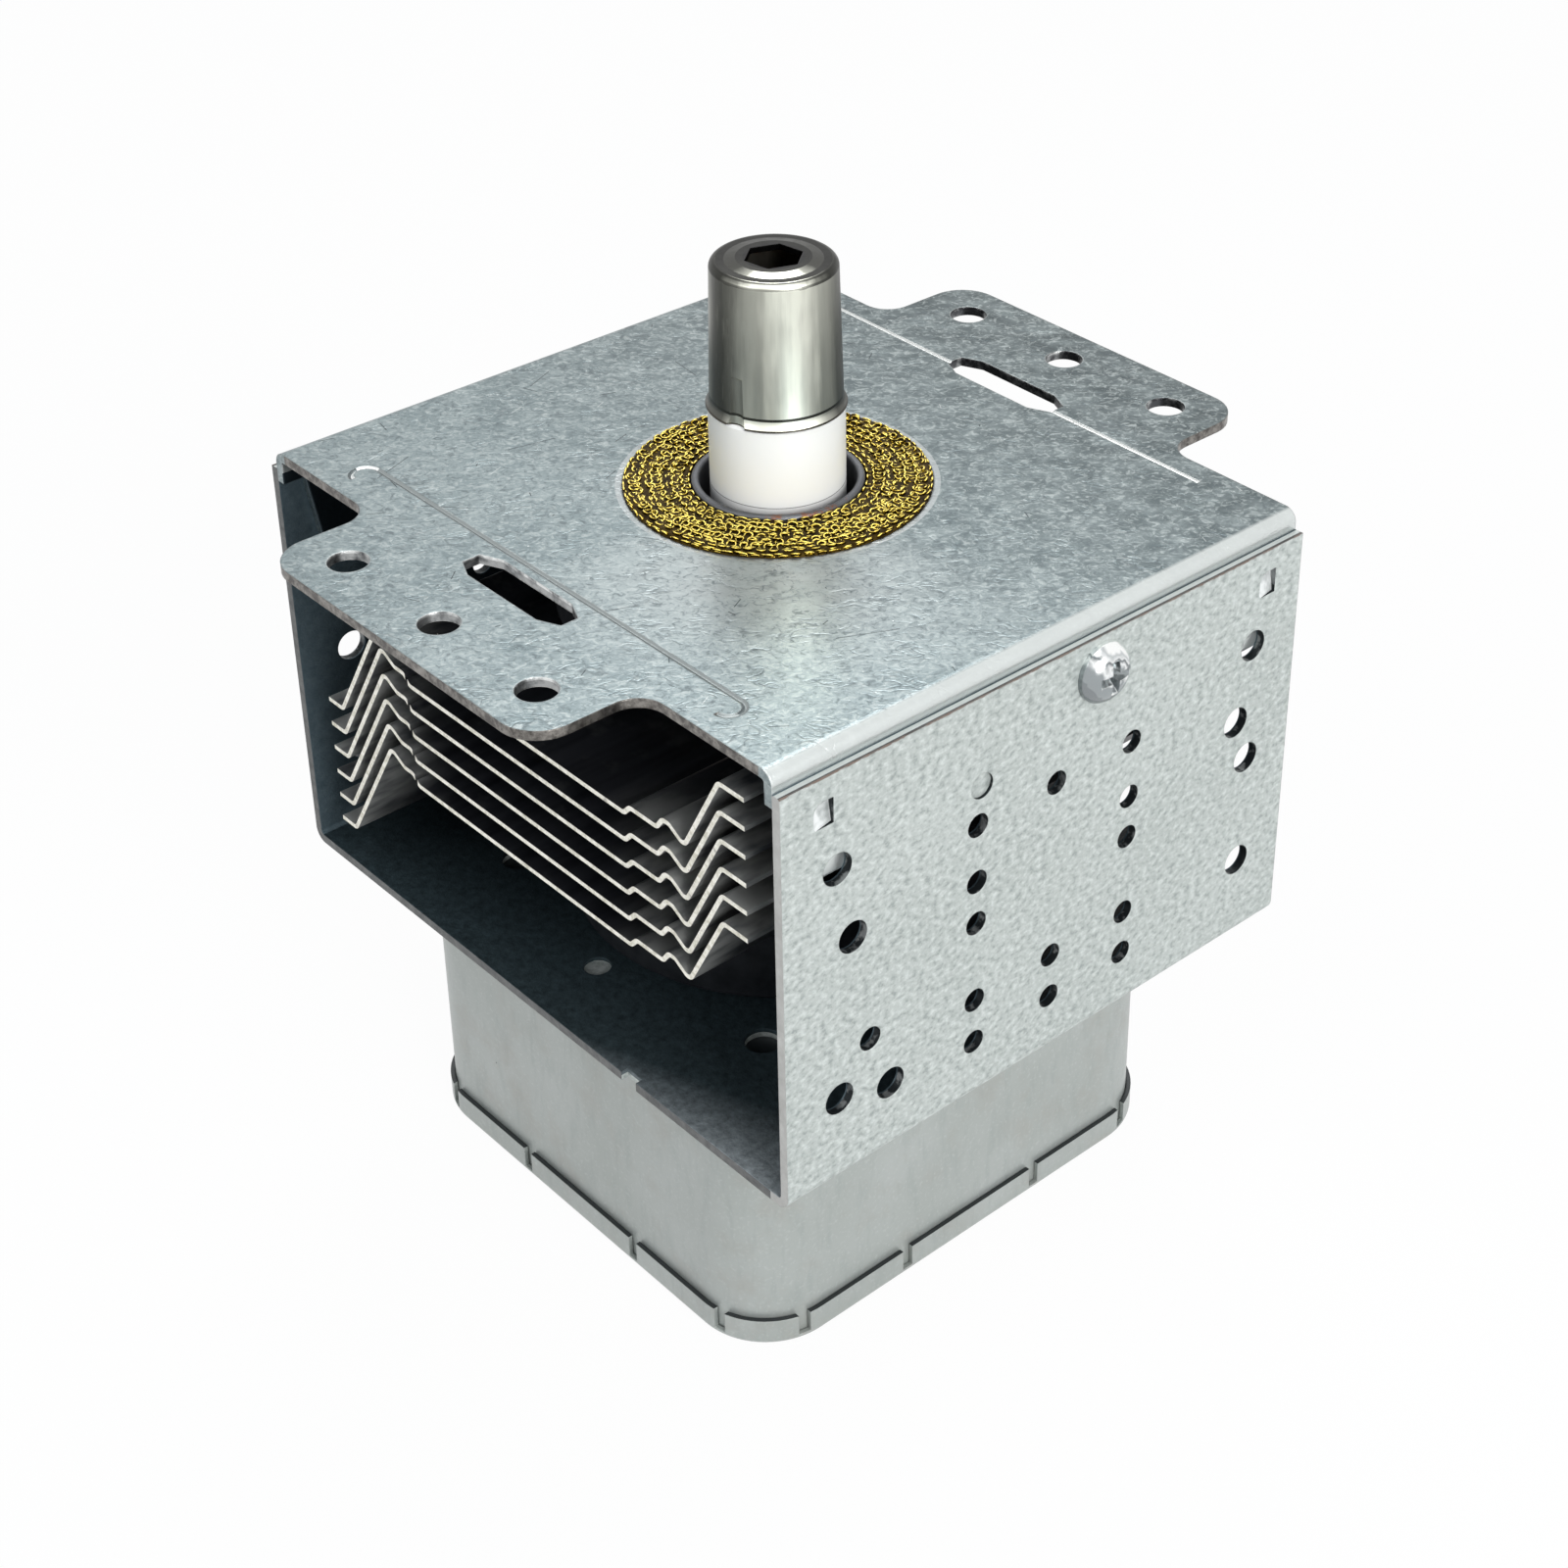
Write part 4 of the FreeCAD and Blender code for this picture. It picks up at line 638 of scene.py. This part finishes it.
def cap_top(skin, tone, wander):
    """Painted reflections: a shoulder bright towards the front with dark and bright bands by its slope, and a
    dark ring on the flat top.
    """
    up = skin.facing_z
    shine = skin.add(skin.around(-38), wander)
    # Painted reflections on the shoulder and the flat top.
    shoulder = skin.ramp(shine, (0.55, steel(0.045)), (0.8, steel(0.22)), (0.93, steel(0.85)))
    curve = skin.ramp(
        up,
        (0.12, 0.35),
        (0.36, 0.3),
        (0.5, 1.0),
        (0.78, 1.0),
        (0.9, 0.12),
        (0.968, 0.12),
        (0.98, 1.0),
    )
    shoulder = skin.lay(steel(0.03), shoulder, curve)
    ring = skin.ramp(skin.add(skin.around(-48), wander), (0.2, steel(0.014)), (0.9, steel(0.035)))
    tone = skin.lay(tone, shoulder, skin.between(up, (0.12, 0.99)))
    return skin.lay(tone, ring, skin.above(up, 0.99))


def cap_foot(skin, tone):
    """Painted reflection on the flared lip, bright towards the front, with painted shade in the crease above
    it and a painted shadow along the edge below.
    """
    side = skin.below(skin.absolute(skin.facing_z), 0.7)
    lip = skin.ramp(skin.around(-35), (0.55, steel(0.10)), (0.75, steel(0.4)), (0.88, steel(0.9)))
    tone = skin.lay(tone, lip, skin.below(skin.z, LIP_TOP), side)
    tone = skin.lay(tone, steel(0.05), skin.between(skin.z, (LIP_TOP, CREASE_TOP)))
    return skin.lay(tone, (0.06, 0.055, 0.045), skin.below(skin.z, LIP_SHADE))


def cap_finish():
    """Satin steel of the drawn cap, with painted reflections, and painted shade making it nearly black in its
    socket.
    """
    skin = Shader("cap_finish")
    draw = skin.noise(1.2, 3.0, 0.6, (1.0, 1.0, 14.0))
    fine = skin.noise(0.35, 3.0, 0.6, (1.0, 1.0, 10.0))
    smear = skin.noise(5.5, 3.0, 0.6, (1.0, 1.0, 2.2))
    wander = skin.add(skin.times(skin.minus(draw, 0.5), 0.2), skin.times(skin.minus(smear, 0.5), 0.22))
    tone = cap_top(skin, cap_side(skin, wander), wander)
    tone = skin.lay(tone, steel(0.5), skin.fade(fine, 0.55, 0.75, 0.12), skin.below(skin.facing_z, 0.3))
    tone = skin.lay(tone, steel(0.7), skin.specks(2.6, 0.13, 0.2))
    tone = cap_foot(skin, tone)
    # Painted shade in the socket.
    tone = skin.lay(tone, (0.01, 0.01, 0.01), skin.below(skin.radius(), SOCKET_RADIUS))
    rough = skin.ramp(draw, (0.3, 0.30), (0.7, 0.42))
    relief = skin.bump(fine, 0.01 * MM, 0.3, skin.rounded(0.12))
    return skin.finish(base_color=tone, metallic=1.0, roughness=rough, normal=relief)


def ceramic_finish():
    """White glazed ceramic with a bright metallised ring at its foot, and a thin band of painted shade at the
    ring's top.
    """
    skin = Shader("ceramic_finish")
    tone = skin.mix(skin.noise(9, 2.0), (0.90, 0.895, 0.87), (0.93, 0.925, 0.905))
    # The ring, with a thin band of painted shade at its top.
    ring = skin.mix(skin.above(skin.z, RING_SHADE), (0.80, 0.79, 0.77), (0.20, 0.19, 0.18))
    tone = skin.lay(tone, ring, skin.below(skin.z, RING_TOP))
    relief = skin.bump(skin.noise(0.7, 2.0), 0.01 * MM, 0.3)
    return skin.finish(base_color=tone, roughness=0.35, normal=relief)


def collar_finish():
    """Dull dark steel with a touch of rust on one side of the rim."""
    skin = Shader("collar_finish")
    tone = skin.mix(skin.noise(3.0, 4.0, 0.6), (0.055, 0.058, 0.065), (0.16, 0.165, 0.175))
    side = skin.above(skin.add(skin.x, skin.times(skin.y, -0.25)), RUST_REACH)
    tone = skin.lay(tone, (0.17, 0.075, 0.045), skin.mottle(2.4, 4.0, 0.7, 0.5, 0.58), side)
    return skin.finish(base_color=tone, metallic=0.8, roughness=0.42)


def screw_finish():
    """Bright zinc of the screw heads, with painted reflections: dark and bright bands by how far a face looks
    up.
    """
    skin = Shader("screw_finish")
    # Painted reflections, by the way each face turns.
    tilt = skin.add(skin.facing_z, skin.times(skin.facing_y, 0.6))
    tilt = skin.add(tilt, skin.times(skin.minus(skin.noise(2.0, 2.0), 0.5), 0.9))
    tone = skin.ramp(
        tilt,
        (0.0, (0.34, 0.37, 0.38)),
        (0.16, (0.90, 0.92, 0.92)),
        (0.36, (0.16, 0.18, 0.19)),
        (0.44, (0.80, 0.82, 0.82)),
        (0.62, (0.55, 0.58, 0.59)),
        (0.75, (0.95, 0.96, 0.95)),
    )
    tone = skin.lay(tone, (0.26, 0.28, 0.29), skin.below(tilt, -0.5))
    return skin.finish(base_color=tone, metallic=0.95, roughness=0.16, normal=skin.rounded(0.2))


def gasket_wire_finish():
    """Brass wire with painted glints and shade: pale on top and nearly black down its sides, brighter in
    patches and towards the front.
    """
    skin = Shader("gasket_wire_finish")
    # Painted glints and shade, by how far the wire faces up.
    shine = skin.add(skin.times(skin.facing_z, 0.62), skin.times(skin.noise(0.9, 3.0, 0.7), 0.75))
    tone = skin.ramp(
        skin.add(shine, skin.times(skin.around(-50), 0.07)),
        (0.56, (0.008, 0.004, 0.001)),
        (0.76, (0.10, 0.058, 0.002)),
        (0.84, (0.50, 0.31, 0.010)),
        (0.90, (1.0, 0.82, 0.20)),
    )
    return skin.finish(base_color=tone, metallic=1.0, roughness=0.25)


def plain_metal(name, dark, pale, metallic=0.9, rough=0.35, size=3.3, shine=0.5):
    """A metal with slight mottling between two tones."""
    skin = Shader(name)
    cloud = skin.noise(size, 3.0, 0.6)
    return skin.finish(
        base_color=skin.mix(skin.fade(cloud, 0.3, 0.7), dark, pale),
        metallic=metallic,
        roughness=rough,
        specular_ior_level=shine,
        normal=skin.bump(cloud, 0.01 * MM, 0.3),
    )


def dull_solid(name, dark, pale, rough=0.6, shine=0.5):
    """A moulded or fired material with slight mottling."""
    return plain_metal(name, dark, pale, 0.0, rough, 2.5, shine)


def gasket_core_finish():
    """Painted shade: nearly black brass, seen in the gaps between the gasket's wires."""
    return plain_metal("gasket_core_finish", (0.010, 0.006, 0.002), (0.07, 0.045, 0.010), 1.0, 0.6, 1.1)


def finish_nodes():
    """Gives every node of the model its material by the record's slot."""
    finishes = {
        "galvanised_sheet": plate_finish(),
        "zinc_sheet": wall_finish(),
        "zinc_screw": screw_finish(),
        "ferrite": dull_solid("ferrite_finish", (0.006, 0.007, 0.009), (0.018, 0.02, 0.023), shine=0.12),
        "copper": plain_metal("copper_finish", (0.36, 0.16, 0.09), (0.52, 0.26, 0.15)),
        "pole_iron": plain_metal("iron_finish", (0.30, 0.30, 0.30), (0.42, 0.42, 0.42)),
        "collar_steel": collar_finish(),
        "alumina": ceramic_finish(),
        "cap_steel": cap_finish(),
        "gasket_mesh": gasket_core_finish(),
        "tungsten": plain_metal("tungsten_finish", (0.20, 0.20, 0.21), (0.34, 0.34, 0.35)),
        "terminal_metal": plain_metal("terminal_finish", (0.60, 0.59, 0.56), (0.78, 0.77, 0.74)),
        "fin_aluminium": fin_finish(),
        "filter_sheet": filter_finish(),
        "capacitor_moulding": dull_solid("moulding_finish", (0.60, 0.57, 0.48), (0.70, 0.67, 0.58), 0.45),
        "choke_wire": plain_metal("wire_finish", (0.30, 0.10, 0.04), (0.45, 0.18, 0.08), 0.7, 0.3),
        "choke_core": dull_solid("core_finish", (0.03, 0.03, 0.032), (0.07, 0.07, 0.072)),
    }
    slots = {row["node"]: row["material_slot"] for row in frame["record"]["subparts"]}
    for name, node in frame["nodes"].items():
        material = finishes[slots[name]]
        if not node.material_slots:
            node.data.materials.append(material)
        for slot in node.material_slots:
            slot.material = material


def tube_mesh(name, lines, radius, sides):
    """One mesh of round closed wires, each given as a loop of points."""
    verts = []
    faces = []
    for line in lines:
        count = len(line)
        start = len(verts)
        for i, point in enumerate(line):
            ahead = (line[(i + 1) % count] - line[i - 1]).normalized()
            out = Vector((point.x, point.y, 0)).normalized()
            across = ahead.cross(out).normalized()
            out = across.cross(ahead)
            for k in range(sides):
                angle = 2 * math.pi * k / sides
                verts.append(point + (out * math.cos(angle) + across * math.sin(angle)) * radius)
        for i in range(count):
            here = start + i * sides
            there = start + (i + 1) % count * sides
            for k in range(sides):
                n = (k + 1) % sides
                faces.append((here + k, here + n, there + n, there + k))
    mesh = bpy.data.meshes.new(name)
    mesh.from_pydata([tuple(v) for v in verts], [], faces)
    mesh.polygons.foreach_set("use_smooth", [True] * len(mesh.polygons))
    mesh.update()
    piece = bpy.data.objects.new(name, mesh)
    bpy.context.collection.objects.link(piece)
    return piece


def knitted_row(middle, shift, step, level):
    """One closed wire of loose stitches round the axis, swinging in and out of its row.

    Each stitch has its own random place, lift, size and lean, and blends into the next one's.
    """
    count = round(2 * math.pi * middle / STITCH)
    turn = random.uniform(0, 2 * math.pi)
    loops = [[random.uniform(-1, 1) for _ in range(4)] for _ in range(count)]
    points = []
    for i in range(count):
        for k in range(STITCH_STEPS):
            share = (1 - math.cos(math.pi * k / STITCH_STEPS)) / 2
            near, far = loops[i], loops[(i + 1) % count]
            sideways, lift, size, lean = [a + (b - a) * share for a, b in zip(near, far)]
            phase = 2 * math.pi * k / STITCH_STEPS
            slip = (0.20 * math.sin(2 * phase) + 0.16 * sideways + 0.12 * lean * math.cos(phase)) * STITCH
            angle = (i + k / STITCH_STEPS) * 2 * math.pi / count + slip / middle + turn
            swing = (0.62 + 0.14 * size) * math.cos(phase) + shift + 0.12 * sideways
            radius = min(max(middle + swing * step, KNIT_LIMITS[0]), KNIT_LIMITS[1])
            z = level + (0.10 * math.cos(2 * phase) + 0.11 * lift) * MM
            points.append(Vector((radius * math.cos(angle), radius * math.sin(angle), z)))
    return points


def knitted_layer(drop, shift):
    """The rows of one layer, a drop below the gasket's top and shifted outwards by a share of a row."""
    step = (KNIT_OUTER - KNIT_INNER) / (KNIT_ROWS - 1)
    rows = []
    for row in range(KNIT_ROWS):
        level = GASKET_TOP - drop - ROW_SINKS.get(row, 0.0)
        rows.append(knitted_row(KNIT_INNER + step * row, shift, step, level))
    return rows


def add_gasket_wires():
    random.seed(7)
    lines = knitted_layer(0.0, 0.0) + knitted_layer(*LOWER_LAYER)
    piece = tube_mesh("gasket_wires", lines, WIRE_RADIUS, WIRE_SIDES)
    piece.data.materials.append(gasket_wire_finish())
    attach(piece, "root")


def add_lamps():
    for name, place, size, power in LAMPS:
        data = bpy.data.lights.new(name, "AREA")
        data.energy = power
        data.size = size
        lamp = bpy.data.objects.new(name, data)
        bpy.context.collection.objects.link(lamp)
        lamp.location = place
        lamp.rotation_euler = (Vector(LAMP_AIM) - Vector(place)).to_track_quat("-Z", "Y").to_euler()


def seen_rays(tree):
    """1 for the rays that show the background: the camera's, and those through gloss and glass."""
    rays = tree.nodes.new("ShaderNodeLightPath")
    total = rays.outputs["Is Camera Ray"]
    for name in ("Is Glossy Ray", "Is Transmission Ray"):
        node = tree.nodes.new("ShaderNodeMath")
        node.operation = "MAXIMUM"
        tree.links.new(total, node.inputs[0])
        tree.links.new(rays.outputs[name], node.inputs[1])
        total = node.outputs[0]
    return total


def add_floor():
    """Pale level floor, nearly white to the camera but still with the object's shadow."""
    mesh = bpy.data.meshes.new("floor")
    corners = [(x * FLOOR_REACH, y * FLOOR_REACH, FLOOR_Z) for x, y in ((-1, -1), (1, -1), (1, 1), (-1, 1))]
    mesh.from_pydata(corners, [], [(0, 1, 2, 3)])
    floor = bpy.data.objects.new("floor", mesh)
    bpy.context.collection.objects.link(floor)
    skin = Shader("floor_finish")
    white = skin.node("Emission")
    white.inputs["Strength"].default_value = 1.0
    blend = skin.node("MixShader")
    skin.put(skin.times(seen_rays(skin.tree), FLOOR_WHITE_SHARE), blend.inputs[0])
    skin.link(skin.surface.outputs[0], blend.inputs[1])
    skin.link(white.outputs[0], blend.inputs[2])
    skin.link(blend.outputs[0], skin.output.inputs["Surface"])
    floor.data.materials.append(skin.finish(base_color=(0.86, 0.86, 0.86), roughness=0.9))


def add_world():
    """White to the camera and in reflections, softer and slightly cool as light."""
    world = bpy.data.worlds.new("studio")
    bpy.context.scene.world = world
    world.use_nodes = True
    tree = world.node_tree
    tree.nodes.clear()
    out = tree.nodes.new("ShaderNodeOutputWorld")
    soft = tree.nodes.new("ShaderNodeBackground")
    soft.inputs["Color"].default_value = SKY_COLOUR
    soft.inputs["Strength"].default_value = SKY_STRENGTH
    white = tree.nodes.new("ShaderNodeBackground")
    white.inputs["Color"].default_value = (1, 1, 1, 1)
    white.inputs["Strength"].default_value = 1.0
    blend = tree.nodes.new("ShaderNodeMixShader")
    tree.links.new(seen_rays(tree), blend.inputs[0])
    tree.links.new(soft.outputs[0], blend.inputs[1])
    tree.links.new(white.outputs[0], blend.inputs[2])
    tree.links.new(blend.outputs[0], out.inputs["Surface"])


add_camera()
finish_nodes()
add_gasket_wires()
add_floor()
add_world()
add_lamps()
bpy.context.scene.view_settings.view_transform = "Standard"
